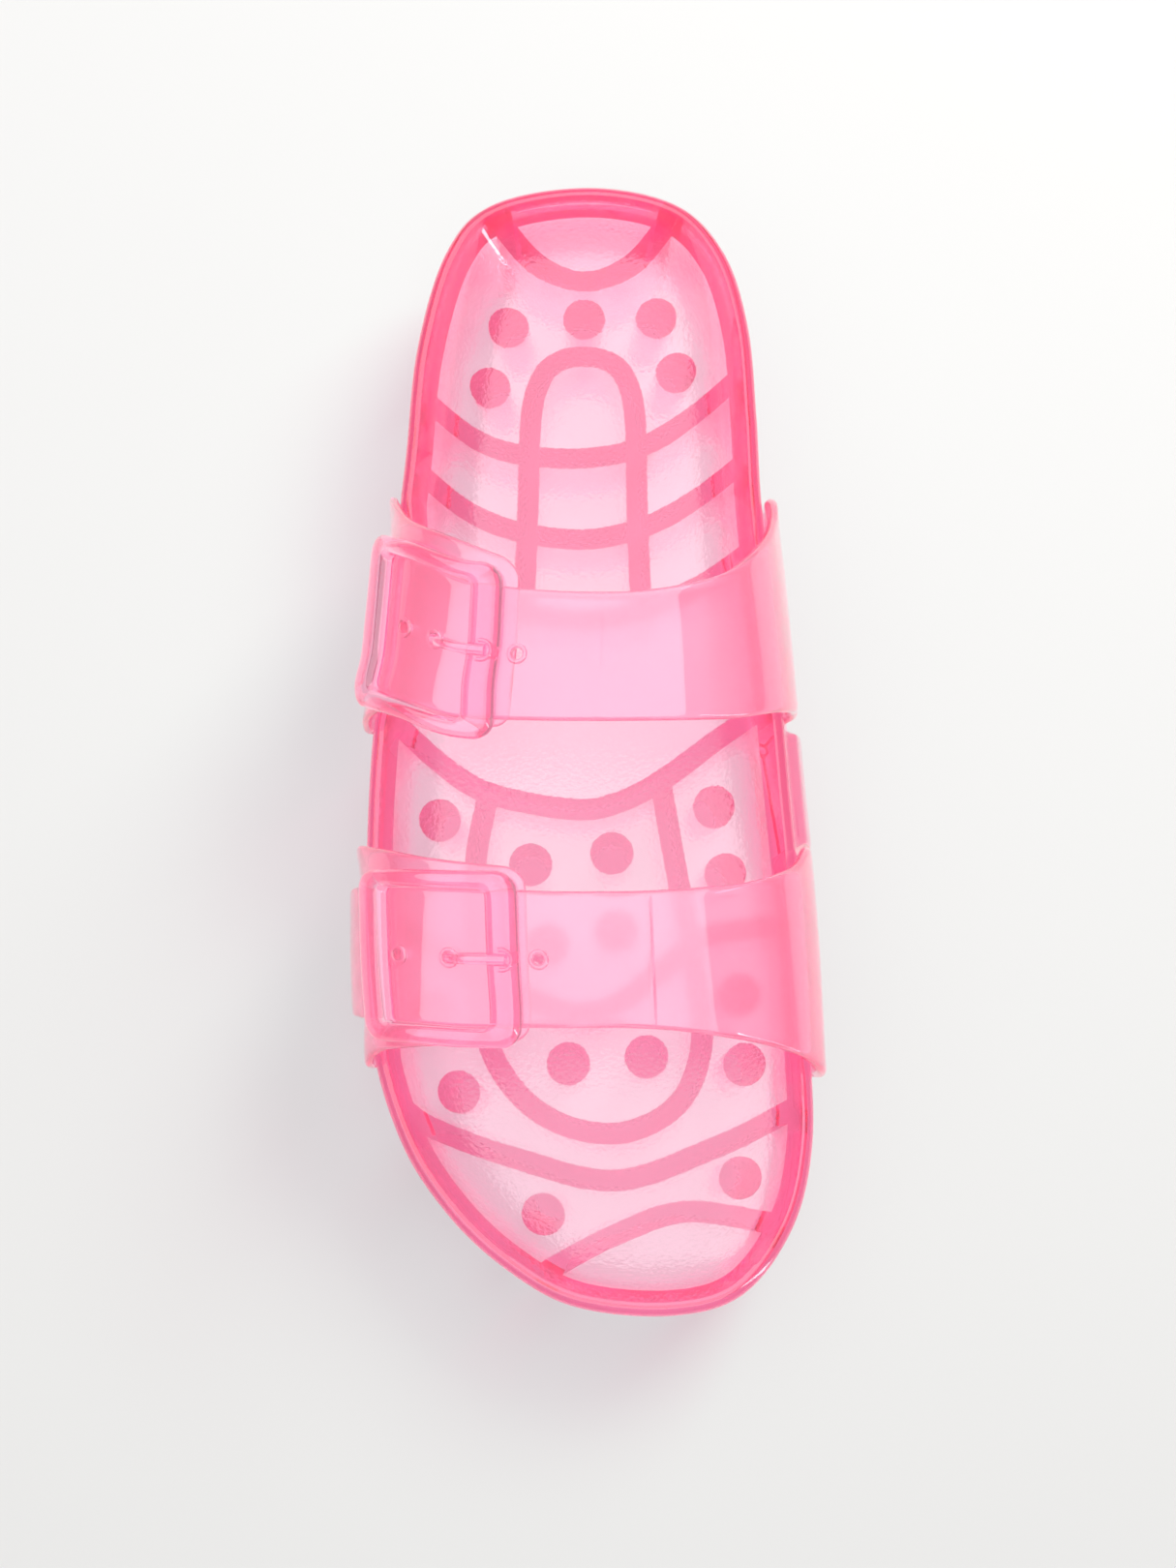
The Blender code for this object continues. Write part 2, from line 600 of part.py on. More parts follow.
def strap_layers(end):
    """Heights of strap and flap over the foot's form, by angle."""
    table = STRAPS[f"strap_{end}"]
    flap = FLAPS[f"flap_{end}"]
    climb = flap[0][0]

    def base(angle):
        return (FLAP_THICKNESS + GAP) * smoothstep(climb - RAMP[0], climb - RAMP[1], angle)

    def thickness(angle):
        root = ROOT_SWELL * (1 - smoothstep(*ROOT_SWELL_SPAN, angle))
        thinning = ROOT_THINNING * smoothstep(2, FULL_DROP, max(-angle, angle - 180))
        return STRAP_THICKNESS * (1 + root - thinning)

    return table, flap, base, thickness


@lru_cache(maxsize=None)
def middle_line(table):
    """Angles round the strap, and the length of its middle line up to each."""
    angles = np.arange(60, 200, 1.0)
    height = FLAP_THICKNESS + STRAP_THICKNESS
    places = np.array([on_strap(table, a, 0.5, height) for a in angles])
    return angles, np.concatenate([[0], np.cumsum(np.linalg.norm(np.diff(places, axis=0),
                                                                 axis=1))])


def arc_angle(table, start, distance):
    """Angle that lies a distance round the strap's middle line from a starting angle."""
    angles, run = middle_line(table)
    return float(np.interp(np.interp(start, angles, run) + distance, run, angles))


def strap_place(table, centre, round_strap, over_strap, height):
    """Place given by distances in metres round the strap and across it from a centre."""
    angle = arc_angle(table, centre, round_strap)
    width = (column(table, angle, 2) - column(table, angle, 1)) * SOLE_LENGTH
    return on_strap(table, angle, 0.5 + over_strap / width, height)


def rounded_rectangle(half_round, half_over, radius, turns=3, runs=5):
    """Closed loop of points of a rectangle with round corners."""
    loop = []
    ends = ((1, 1), (-1, 1), (-1, -1), (1, -1))
    for number, (sx, sy) in enumerate(ends):
        centre = (sx * (half_round - radius), sy * (half_over - radius))
        for k in range(turns + 1):
            turn = math.radians(90 * (number + k / turns))
            loop.append((centre[0] + radius * math.cos(turn), centre[1] + radius * math.sin(turn)))
        nx, ny = ends[(number + 1) % 4]
        following = (nx * (half_round - radius) + radius * math.cos(math.radians(90 * (number + 1))),
                     ny * (half_over - radius) + radius * math.sin(math.radians(90 * (number + 1))))
        last = loop[-1]
        loop += [tuple(np.array(last) + (np.array(following) - last) * k / runs)
                 for k in range(1, runs)]
    return loop


def tube(name, table, centre, path, radius, sides=10):
    """Round bar along a path of (round the strap, height) places on the strap's middle line."""
    path = np.array(path)
    run = np.gradient(path, axis=0)
    run /= np.linalg.norm(run, axis=1)[:, None]
    corners, faces = [], []
    for (place, height), (along, up) in zip(path, run):
        for k in range(sides):
            turn = 2 * math.pi * k / sides
            out = radius * math.cos(turn)
            corners.append(strap_place(table, centre, place - up * out, radius * math.sin(turn),
                                       height + along * out))
    for k in range(len(path) - 1):
        for i in range(sides):
            j = (i + 1) % sides
            faces.append([k * sides + i, k * sides + j, (k + 1) * sides + j, (k + 1) * sides + i])
    faces.append(list(range(sides)))
    faces.append(list(range((len(path) - 1) * sides, len(path) * sides)))
    return make_object(name, corners, faces)


def cut(piece, cutter):
    """Boolean cut, with the cutter kept as a hidden guide."""
    cutter.hide_render = True
    cutter.display_type = "WIRE"
    modifier = piece.modifiers.new(cutter.name, "BOOLEAN")
    modifier.operation = "DIFFERENCE"
    modifier.object = cutter


def make_fastening(end):
    """Flap, strap, buckle frame and prong of one end of the foot."""
    table, flap, base, thickness = strap_layers(end)
    centre = BUCKLE_CENTRE[end]
    flap_end = flap[0][0]

    def flap_thickness(angle):
        tip, to_full = FLAP_TIP
        thin_end = tip + (1 - tip) * smoothstep(flap_end, flap_end + to_full, angle)
        root = FLAP_THINNING * smoothstep(180, 180 + FULL_DROP, angle)
        return FLAP_THICKNESS * thin_end * (1 - root)

    rows = STRAP_ROWS // 3
    flap_angles = np.concatenate([flap_end + np.array(TIP_STEPS),
                                  np.linspace(flap_end + TIP_STEPS[-1], 180, rows + 2)[1:-1],
                                  180 + FULL_DROP * np.array(ROOT_ROWS)])
    leaf(f"flap_{end}", flap, flap_angles, lambda angle: 0.0, flap_thickness, END_CORNER, False)

    tail = table[-1][0] - 180
    strap_angles = np.concatenate([-FULL_DROP * np.array(ROOT_ROWS[::-1]),
                                   np.linspace(0, 180, STRAP_ROWS + 2)[1:-1],
                                   180 + tail * np.array(ROOT_ROWS)])
    strap = leaf(f"strap_{end}", table, strap_angles, base, thickness, END_CORNER, True)

    strap_under = FLAP_THICKNESS + GAP
    strap_over = strap_under + STRAP_THICKNESS
    frame_under = strap_over + 1.5 * GAP
    frame_over = frame_under + FRAME_HEIGHT

    # The frame is a loop of rounded bars, from its outer edge over the top to its window.
    outer = rounded_rectangle(FRAME_ACROSS / 2, FRAME_LENGTH / 2, FRAME_CORNER)
    window = rounded_rectangle(FRAME_ACROSS / 2 - FRAME_BAR, FRAME_LENGTH / 2 - FRAME_SIDE,
                               WINDOW_CORNER)
    corners, faces = [], []
    for a, b in zip(outer, window):
        for share, level in FRAME_SECTION:
            place = np.array(a) + share * (np.array(b) - a)
            corners.append(strap_place(table, centre, *place, frame_under + level * FRAME_HEIGHT))
    size = len(FRAME_SECTION)
    for k in range(len(outer)):
        nxt = (k + 1) % len(outer)
        for i in range(size):
            j = (i + 1) % size
            faces.append([k * size + i, k * size + j, nxt * size + j, nxt * size + i])
    frame = make_object(f"buckle_{end}", corners, faces)

    # The prong stands on the flap, goes up through a hole and rests in the bar's notch.
    bar = -(FRAME_ACROSS - FRAME_BAR) / 2
    root = bar + PRONG_REACH
    rest = frame_over - PRONG_SINK * PRONG_RADIUS
    path = [(root, strap_under + GAP / 3), (root, strap_over + 0.3 * PRONG_RADIUS),
            (root - 0.35 * PRONG_RADIUS, strap_over + 1.4 * PRONG_RADIUS)]
    path += [(root - back * PRONG_RADIUS, rest - drop * PRONG_RADIUS)
             for back, drop in PRONG_BENDS]
    path.append((bar - 0.10 * FRAME_BAR, rest))
    tube(f"prong_{end}", table, centre, path, PRONG_RADIUS)
    room = [(path[0][0], path[0][1] - 2 * GAP), *path[1:-1], (path[-1][0] - 2 * GAP, rest)]
    groove = tube(f"groove_{end}", table, centre, room, PRONG_RADIUS + GAP, 12)
    cut(strap, groove)
    cut(frame, groove)
    for number, step in enumerate(HOLES[end]):
        place = root + step
        punch = tube(f"punch_{end}_{number}", table, centre,
                     [(place, strap_under - GAP / 2), (place, strap_over + GAP)], HOLE_RADIUS)
        cut(strap, punch)


for old in list(bpy.data.objects):
    bpy.data.objects.remove(old)

sandal = bpy.data.objects.new("sandal", None)
bpy.context.collection.objects.link(sandal)

make_sole()
make_fastening("rear")
make_fastening("front")

# The origin goes to the middle of the object's box, on the floor.
solid = [piece for piece in bpy.data.objects if piece.type == "MESH" and not piece.hide_render]
places = np.array([corner.co for piece in solid for corner in piece.data.vertices])
middle = (places.min(0) + places.max(0)) / 2
sandal.location = (-middle[0], -middle[1], -places[:, 2].min())
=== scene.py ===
"""Clear pink jelly slide sandal on a pale studio floor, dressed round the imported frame."""
import math

import bmesh
import bpy
import numpy as np
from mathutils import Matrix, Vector
from mathutils.geometry import delaunay_2d_cdt


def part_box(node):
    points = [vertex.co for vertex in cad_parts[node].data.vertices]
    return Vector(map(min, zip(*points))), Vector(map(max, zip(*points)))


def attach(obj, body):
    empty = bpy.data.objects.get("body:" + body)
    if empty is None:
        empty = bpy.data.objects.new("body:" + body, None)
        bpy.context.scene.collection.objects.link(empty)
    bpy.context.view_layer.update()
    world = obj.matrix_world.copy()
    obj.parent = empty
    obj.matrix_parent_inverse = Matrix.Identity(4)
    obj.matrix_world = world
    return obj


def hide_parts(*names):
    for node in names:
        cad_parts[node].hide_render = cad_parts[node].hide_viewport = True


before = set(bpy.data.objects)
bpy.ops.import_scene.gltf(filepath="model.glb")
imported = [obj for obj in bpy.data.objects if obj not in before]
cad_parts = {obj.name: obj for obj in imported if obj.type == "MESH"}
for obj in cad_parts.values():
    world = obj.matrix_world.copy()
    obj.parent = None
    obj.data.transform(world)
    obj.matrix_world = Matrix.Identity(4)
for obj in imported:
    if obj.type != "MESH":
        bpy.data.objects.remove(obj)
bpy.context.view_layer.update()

# The sole is one moulding of plasticised PVC, clear and dyed pink: a cupped footbed skin and a
# rolled rim on a deep side wall, open underneath into cells between curved ribs, with round
# pillars where the foot presses. Its thin skin looks nearly white, its walls and ribs deep pink.
SOLE_LENGTH = 0.278
SOLE_WIDTH = 0.108
RIM_HEIGHT = 0.040          # lip above the floor at the heel
BED_HEIGHT = 0.021          # footbed above the floor under the ball
TOE_SPRING = 0.008          # lift of the underside at the tip of the toe
ARCH_LIFT = 0.004           # extra height of the rim along the inner arch
ARCH_SPAN = (0.05, 0.13)    # its middle and reach, as shares of SOLE_LENGTH
ARCH_SIDE = 0.4             # share of SOLE_WIDTH over which it fades in
WALL = 0.0055               # side wall, from the rim's edge to the open cells
SKIN = 0.0034               # footbed over the cells
LEAN = 0.0040               # how far the side wall leans in at the floor
FLARE = 0.0052              # how far the wall swells out between the straps, inner side
SWELL_GAP = 0.0006          # from a strap's edge to the swell
SWELL_RAMP = 0.4            # reach of the swell's ends, as a share of FLARE
LIP_DROP = 0.0026           # from the lip's crest down to the rim's widest edge
LIP_CREST = 0.0028          # from the rim's edge in to the lip's crest
CUP_WIDTH = 0.021           # from the rim's edge in to the flat of the footbed
RIB_WIDTH = 0.0053
PILLAR_RADIUS = 0.0053
PILLAR_FOOT_RADIUS = 0.0044
SEAT_DEPTH = 0.0015         # recess of the outer wall behind the tail of each strap
SEAT_SLOPE = 0.0120         # run-out of that recess at its two ends
STRAP_THICKNESS = 0.0024
FOOT_ROUNDING = 0.0008
FLOOR_CLEARANCE = 0.0001
SATIN_BORDER = (0.30, 0.75)     # where the footbed's grain fades in, as shares of CUP_WIDTH
EDGE_STEPS = 480
CURVE_STEPS = 24
BED_STEP = 0.0038
RIB_STEPS = 9
PILLAR_SIDES = 28
LIP_STEPS = 9
DISH_STEPS = 16
DISH_CROWDING = 1.2         # above 1, the dish's rings crowd towards the lip

# Rim's edge from above. (across, along): shares of SOLE_WIDTH and SOLE_LENGTH
OUTLINE = (
    (0.000, 0.500), (0.202, 0.484), (0.313, 0.439), (0.367, 0.371), (0.385, 0.288),
    (0.394, 0.209), (0.419, 0.101), (0.450, -0.036), (0.478, -0.151), (0.492, -0.261),
    (0.496, -0.353), (0.450, -0.426), (0.338, -0.483), (0.180, -0.501), (-0.032, -0.493),
    (-0.185, -0.460), (-0.311, -0.414), (-0.413, -0.353), (-0.481, -0.266), (-0.497, -0.158),
    (-0.489, -0.022), (-0.452, 0.122), (-0.417, 0.245), (-0.392, 0.349), (-0.327, 0.439),
    (-0.220, 0.484),
)
# (along, rim, bed, spring): shares of SOLE_LENGTH, RIM_HEIGHT, BED_HEIGHT and TOE_SPRING
SECTIONS = (
    (-0.505, 0.80, 1.26, 1.00),
    (-0.430, 0.74, 1.08, 0.42),
    (-0.330, 0.71, 0.98, 0.00),
    (-0.150, 0.73, 0.98, 0.00),
    (0.020, 0.84, 1.12, 0.16),
    (0.150, 0.92, 1.20, 0.16),
    (0.290, 0.96, 1.20, 0.00),
    (0.505, 1.00, 1.28, 0.00),
)
# Side wall down from the rim. (height, lean, swell, skirt): shares of its height, LEAN, FLARE
SIDE_PROFILE = (
    (1.00, 0.00, 0.00, 0.00),
    (0.90, 0.03, 0.04, 0.00),
    (0.80, 0.26, 0.62, 0.00),
    (0.45, 0.54, 1.00, 0.00),
    (0.20, 0.76, 1.00, 0.62),
    (0.06, 0.90, 1.00, 0.70),
    (0.00, 1.06, 0.88, 0.58),
)
SKIRT = (-0.34, 0.26)       # ends of the skirt, as shares of SOLE_LENGTH
SKIRT_FULL = 0.25           # share of its half length where it has its full size
# Centre lines of the ribs. (across, along): shares of SOLE_WIDTH and SOLE_LENGTH
RIBS = {
    "heel_arc": ((-0.259, 0.489), (-0.204, 0.471), (-0.107, 0.442), (-0.006, 0.430),
                 (0.096, 0.443), (0.185, 0.471), (0.241, 0.489)),
    "cross_back": ((-0.389, 0.306), (-0.259, 0.279), (-0.148, 0.266), (-0.009, 0.263),
                   (0.120, 0.273), (0.241, 0.300), (0.370, 0.329)),
    "cross_middle": ((-0.398, 0.239), (-0.278, 0.212), (-0.157, 0.194), (-0.009, 0.187),
                     (0.125, 0.198), (0.241, 0.221), (0.380, 0.250)),
    "cross_front": ((-0.417, 0.162), (-0.287, 0.137), (-0.167, 0.121), (-0.009, 0.113),
                    (0.130, 0.122), (0.250, 0.142), (0.398, 0.169)),
    "horseshoe": ((-0.148, 0.113), (-0.139, 0.209), (-0.132, 0.302), (-0.106, 0.340),
                  (-0.065, 0.355), (-0.010, 0.359), (0.044, 0.355), (0.085, 0.340),
                  (0.109, 0.302), (0.114, 0.209), (0.123, 0.113)),
    "forefoot_arc": ((-0.463, 0.022), (-0.333, -0.018), (-0.222, -0.043), (-0.031, -0.057),
                     (0.074, -0.050), (0.176, -0.029), (0.296, 0.004), (0.444, 0.032)),
    "forefoot_loop": ((-0.228, -0.045), (-0.255, -0.106), (-0.250, -0.187), (-0.216, -0.272),
                      (-0.103, -0.326), (0.061, -0.343), (0.199, -0.318), (0.255, -0.266),
                      (0.241, -0.198), (0.208, -0.128), (0.166, -0.035)),
    "wave_middle": ((-0.481, -0.155), (-0.366, -0.176), (-0.219, -0.209), (-0.053, -0.236),
                    (0.056, -0.231), (0.163, -0.200), (0.273, -0.169), (0.481, -0.162)),
    "toe_wave": ((-0.417, -0.324), (-0.352, -0.340), (-0.167, -0.364), (0.061, -0.384),
                 (0.285, -0.355), (0.481, -0.320)),
    "toe_arc": ((-0.120, -0.475), (-0.071, -0.460), (0.069, -0.430), (0.224, -0.411),
                (0.444, -0.426)),
}
# Middles of the pillars. (across, along): shares of SOLE_WIDTH and SOLE_LENGTH
PILLARS = (
    (-0.187, 0.386), (-0.230, 0.329), (0.161, 0.395), (0.207, 0.343), (-0.009, 0.394),
    (-0.338, -0.067), (-0.130, -0.106), (0.054, -0.096), (0.288, -0.055), (0.313, -0.115),
    (-0.092, -0.177), (0.062, -0.165), (0.342, -0.222), (-0.347, -0.237), (-0.290, -0.307),
    (-0.044, -0.282), (0.131, -0.276), (0.352, -0.283), (0.340, -0.382), (-0.100, -0.414),
)
# Edges of the straps round the foot, which the wall's swell and seats follow too.
# (angle, toe_edge, heel_edge): degrees, and shares of SOLE_LENGTH
STRAPS = {
    "rear": ((-20, 0.015, 0.199), (0, 0.013, 0.208), (12, 0.008, 0.177), (30, 0.000, 0.145),
             (60, -0.014, 0.102), (90, -0.018, 0.087), (115, -0.014, 0.097), (135, 0.004, 0.122),
             (155, 0.020, 0.142), (180, 0.050, 0.172), (196, 0.058, 0.170)),
    "front": ((-20, -0.289, -0.105), (0, -0.297, -0.100), (30, -0.286, -0.129),
              (60, -0.275, -0.149), (90, -0.267, -0.156), (115, -0.266, -0.152),
              (135, -0.261, -0.147), (155, -0.255, -0.142), (180, -0.244, -0.137),
              (196, -0.239, -0.140)),
}
FLAPS = {
    "rear": ((104, -0.025, 0.112), (125, -0.011, 0.137), (150, 0.004, 0.165),
             (168, 0.004, 0.194), (180, 0.004, 0.209), (200, 0.016, 0.200)),
    "front": ((102, -0.279, -0.137), (125, -0.280, -0.127), (150, -0.280, -0.112),
              (180, -0.289, -0.099), (200, -0.280, -0.108)),
}


def column(table, at, index):
    """Smooth values of one column of a table, with no overshoot between rows."""
    rows = np.array(sorted(table), float)
    places, values = rows[:, 0], rows[:, index]
    slopes = np.diff(values) / np.diff(places)
    agree = slopes[:-1] * slopes[1:] > 0
    total = np.where(agree, slopes[:-1] + slopes[1:], 1.0)
    inner = np.where(agree, 2 * slopes[:-1] * slopes[1:] / total, 0.0)
    ends = np.concatenate([slopes[:1], inner, slopes[-1:]])
    at = np.clip(np.asarray(at, float), places[0], places[-1])
    k = np.clip(np.searchsorted(places, at) - 1, 0, len(places) - 2)
    step = places[k + 1] - places[k]
    t = (at - places[k]) / step
    return ((2 * t**3 - 3 * t**2 + 1) * values[k] + (t**3 - 2 * t**2 + t) * step * ends[k]
            + (3 * t**2 - 2 * t**3) * values[k + 1] + (t**3 - t**2) * step * ends[k + 1])


def smoothstep(low, high, value):
    """From 0 at low to 1 at high, level at both ends."""
    t = np.clip((np.asarray(value, float) - low) / (high - low), 0.0, 1.0)
    return t * t * (3 - 2 * t)


def curve_through(points, closed, count):
    """Evenly spaced points of a smooth curve through a few chosen ones."""
    points = np.array(points, float) * (SOLE_WIDTH, SOLE_LENGTH)
    if closed:
        padded = np.vstack([points[-1:], points, points[:2]])
    else:
        padded = np.vstack([2 * points[0] - points[1], points, 2 * points[-1] - points[-2]])
    dense = []
    for a, b, c, d in zip(padded, padded[1:], padded[2:], padded[3:]):
        for t in np.arange(CURVE_STEPS) / CURVE_STEPS:
            dense.append(0.5 * (2 * b + (c - a) * t + (2 * a - 5 * b + 4 * c - d) * t**2
                                + (3 * b - a - 3 * c + d) * t**3))
    dense.append(padded[-2])
    dense = np.array(dense)
    run = np.concatenate([[0], np.cumsum(np.linalg.norm(np.diff(dense, axis=0), axis=1))])
    places = np.linspace(0, run[-1], count + 1)[:-1] if closed else np.linspace(0, run[-1], count)
    return np.column_stack([np.interp(places, run, dense[:, k]) for k in range(2)])


edge = curve_through(OUTLINE, True, EDGE_STEPS)
for table in STRAPS.values():
    toe, heel = (column(table, 180, k) * SOLE_LENGTH for k in (1, 2))
    seat = (smoothstep(toe - SEAT_SLOPE, toe, edge[:, 1])
            * (1 - smoothstep(heel, heel + SEAT_SLOPE, edge[:, 1])))
    edge[:, 0] += SEAT_DEPTH * seat * (edge[:, 0] < 0)
edge_run = np.roll(edge, -1, axis=0) - np.roll(edge, 1, axis=0)
edge_run /= np.linalg.norm(edge_run, axis=1)[:, None]
edge_in = np.column_stack([edge_run[:, 1], -edge_run[:, 0]])


def from_edge(points):
    """Distance in from the rim's edge, and the direction inwards there."""
    run = np.roll(edge, -1, axis=0) - edge
    away = points[:, None, :] - edge[None]
    share = np.clip((away * run).sum(2) / (run * run).sum(1), 0, 1)
    gaps = np.linalg.norm(away - share[..., None] * run, axis=2)
    k = gaps.argmin(1)
    rows = np.arange(len(points))
    s = share[rows, k][:, None]
    inward = edge_in[k] * (1 - s) + edge_in[(k + 1) % len(edge)] * s
    side = np.where(((points - edge[k] - s * run[k]) * inward).sum(1) < 0, -1, 1)
    return gaps[rows, k] * side, inward


def rim_height(points):
    """Crest of the lip above the floor, with its lift along the inner arch."""
    along = points[:, 1] / SOLE_LENGTH
    arch = np.exp(-((along - ARCH_SPAN[0]) / ARCH_SPAN[1]) ** 2)
    arch = arch * smoothstep(0, ARCH_SIDE * SOLE_WIDTH, points[:, 0])
    return RIM_HEIGHT * column(SECTIONS, along, 1) + ARCH_LIFT * arch


def ground_height(points):
    """Underside of the sole, which lifts at the toe and a little under the waist."""
    return TOE_SPRING * column(SECTIONS, points[:, 1] / SOLE_LENGTH, 3)


def bed_height(points):
    """Top of the footbed, dished up to the lip all round."""
    depth = from_edge(points)[0]
    bed = BED_HEIGHT * column(SECTIONS, points[:, 1] / SOLE_LENGTH, 2)
    rise = np.clip(1 - np.clip(depth - LIP_CREST, 0, 1) / (CUP_WIDTH - LIP_CREST), 0, 1) ** 2
    return bed + (rim_height(points) - bed) * rise


def swell(points):
    """How far the inner wall swells out between the straps, from 0 to 1."""
    rear = column(STRAPS["rear"], 0, 1) * SOLE_LENGTH - SWELL_GAP
    front = column(STRAPS["front"], 0, 2) * SOLE_LENGTH + SWELL_GAP
    soft = SWELL_RAMP * FLARE
    share = (smoothstep(front, front + soft, points[:, 1])
             * (1 - smoothstep(rear - soft, rear, points[:, 1])))
    return np.where(points[:, 0] < 0, 0.0, share)


def skirt(points):
    """How far the inner wall's foot spreads along the arch, from 0 to 1."""
    middle, half = sum(SKIRT) / 2, (SKIRT[1] - SKIRT[0]) / 2
    reach = np.abs(points[:, 1] / SOLE_LENGTH - middle) / half
    return np.where(points[:, 0] > 0, 1 - smoothstep(SKIRT_FULL, 1.0, reach), 0.0)


def wall_ring(height):
    """Ring of the side wall at a share of its height, rounded under where it meets the floor."""
    lean, bulge, low = (column(SIDE_PROFILE, height, k) for k in (1, 2, 3))
    share = swell(edge)
    floor = ground_height(edge)
    top = rim_height(edge) - LIP_DROP
    z = floor + height * (top - floor)
    under = np.clip(1 - (z - floor) / FOOT_ROUNDING, 0, 1)
    shift = ((1 - share) * (LEAN * lean - (FLARE + LEAN) * low * skirt(edge))
             - share * FLARE * bulge + FOOT_ROUNDING * (1 - np.sqrt(1 - under**2)))
    return np.column_stack([edge + edge_in * shift[:, None], z])


def foot_of(points):
    """Where points of the plan lie at floor level: the walls and ribs lean in with the rim."""
    depth, inward = from_edge(points)
    shift = LEAN * (1 - smoothstep(WALL, 2 * CUP_WIDTH, depth))
    shift *= 1 - swell(points) * (1 - smoothstep(0, WALL, depth))
    return points + inward * shift[:, None]


def inside(loop, points):
    """Which points of the plan lie within a closed loop."""
    hits = np.zeros(len(points), bool)
    for a, b in zip(loop, np.roll(loop, -1, axis=0)):
        if a[1] != b[1]:
            crosses = (a[1] > points[:, 1]) != (b[1] > points[:, 1])
            x = a[0] + (points[:, 1] - a[1]) * (b[0] - a[0]) / (b[1] - a[1])
            hits ^= crosses & (points[:, 0] < x)
    return hits


def triangulate(loops, loose):
    """Plan triangles between closed loops, and which point of the first loop each corner is."""
    corners, edges = [], []
    for loop in loops:
        first = len(corners)
        corners += [Vector(p) for p in loop]
        edges += [(first + i, first + (i + 1) % len(loop)) for i in range(len(loop))]
    corners += [Vector(p) for p in loose]
    result = delaunay_2d_cdt(corners, edges, [], 1, 1e-6)
    first = [min((i for i in ids if i < len(loops[0])), default=None) for ids in result[3]]
    return np.array([tuple(p) for p in result[0]]), [tuple(f) for f in result[2]], first


def bed_grid(depth_limit, keep_off):
    """Evenly spread points in the plan, clear of the given loops."""
    x, y = np.meshgrid(np.arange(-SOLE_WIDTH, SOLE_WIDTH, BED_STEP) / 2,
                       np.arange(-SOLE_LENGTH, SOLE_LENGTH, BED_STEP) / 2)
    points = np.column_stack([2 * x.ravel(), 2 * y.ravel()])
    points = points[np.abs(points[:, 0]) < 0.6 * SOLE_WIDTH]
    points = points[from_edge(points)[0] > depth_limit]
    walls = np.vstack(keep_off)
    near = np.array([np.linalg.norm(walls - p, axis=1).min() for p in points])
    return points[near > BED_STEP / 2]


def moulded(name, corners, faces, material, satin=None, sharp=math.radians(38)):
    """Closed piece of jelly from corners and faces, facing out."""
    mesh = bpy.data.meshes.new(name)
    mesh.from_pydata([tuple(c) for c in corners], [], faces)
    values = mesh.attributes.new("satin", "FLOAT", "POINT")
    if satin is not None:
        values.data.foreach_set("value", np.asarray(satin, np.float32))
    shape = bmesh.new()
    shape.from_mesh(mesh)
    bmesh.ops.remove_doubles(shape, verts=shape.verts, dist=1e-7)
    bmesh.ops.recalc_face_normals(shape, faces=shape.faces)
    shape.to_mesh(mesh)
    shape.free()
    mesh.shade_smooth()
    mesh.set_sharp_from_angle(angle=sharp)
    mesh.materials.append(material)
    piece = bpy.data.objects.new(name, mesh)
    bpy.context.collection.objects.link(piece)
    return piece


wall_line = edge + edge_in * WALL
ribs = []
for points in RIBS.values():
    centre = curve_through(points, False, RIB_STEPS * len(points))
    run = np.gradient(centre, axis=0)
    run /= np.linalg.norm(run, axis=1)[:, None]
    side = np.column_stack([run[:, 1], -run[:, 0]]) * RIB_WIDTH / 2
    loop = np.vstack([centre + side, (centre - side)[::-1]])
    depth, inward = from_edge(loop)
    ribs.append(loop + inward * np.clip(WALL / 2 - depth, 0, None)[:, None])
turns = np.arange(PILLAR_SIDES) * 2 * math.pi / PILLAR_SIDES
circle = np.column_stack([np.cos(turns), np.sin(turns)])
pillars = np.array(PILLARS) * (SOLE_WIDTH, SOLE_LENGTH)
pillar_rings = [centre + PILLAR_RADIUS * circle for centre in pillars]

plan, triangles, edge_number = triangulate(
    [edge, wall_line] + ribs + pillar_rings,
    bed_grid(WALL, [wall_line] + ribs + pillar_rings))
middles = np.array([plan[list(face)].mean(0) for face in triangles])
in_cell = inside(wall_line, middles)
for loop in ribs + pillar_rings:
    in_cell &= ~inside(loop, middles)

# Floor level under walls, ribs and pillars, and the cells' ceilings a skin under the footbed.
low = foot_of(plan)
for centre in pillars:
    near = np.linalg.norm(plan - centre, axis=1) < 1.01 * PILLAR_RADIUS
    low[near] = foot_of(centre[None]) + (plan[near] - centre) * PILLAR_FOOT_RADIUS / PILLAR_RADIUS
low = np.column_stack([low, ground_height(plan)])
high = np.column_stack([plan, bed_height(plan) - SKIN])

# Walls up from the floor, then over the lip and down into the dish of the footbed.
SIDE_LEVELS = (0.0, 0.008, 0.018, 0.032, 0.06, 0.10, 0.15, 0.20, 0.26, 0.33, 0.40, 0.47, 0.54,
               0.61, 0.67, 0.73, 0.78, 0.82, 0.86, 0.90, 0.94, 0.97, 1.00)
side_rings = [wall_ring(level) for level in SIDE_LEVELS]
rings = list(side_rings)
for turn in np.radians(np.linspace(0, 90, LIP_STEPS + 1)[1:]):
    loop = edge + edge_in * LIP_CREST * (1 - math.cos(turn))
    rings.append(np.column_stack([loop, rim_height(loop) - LIP_DROP * (1 - math.sin(turn))]))
for share in np.linspace(0, 1, DISH_STEPS + 1)[1:] ** DISH_CROWDING:
    loop = edge + edge_in * (LIP_CREST + share * (CUP_WIDTH - LIP_CREST))
    rings.append(np.column_stack([loop, bed_height(loop)]))
top_plan, top_triangles, ring_number = triangulate([rings[-1][:, :2]],
                                                   bed_grid(CUP_WIDTH, [rings[-1][:, :2]]))
top = np.column_stack([top_plan, bed_height(top_plan)])

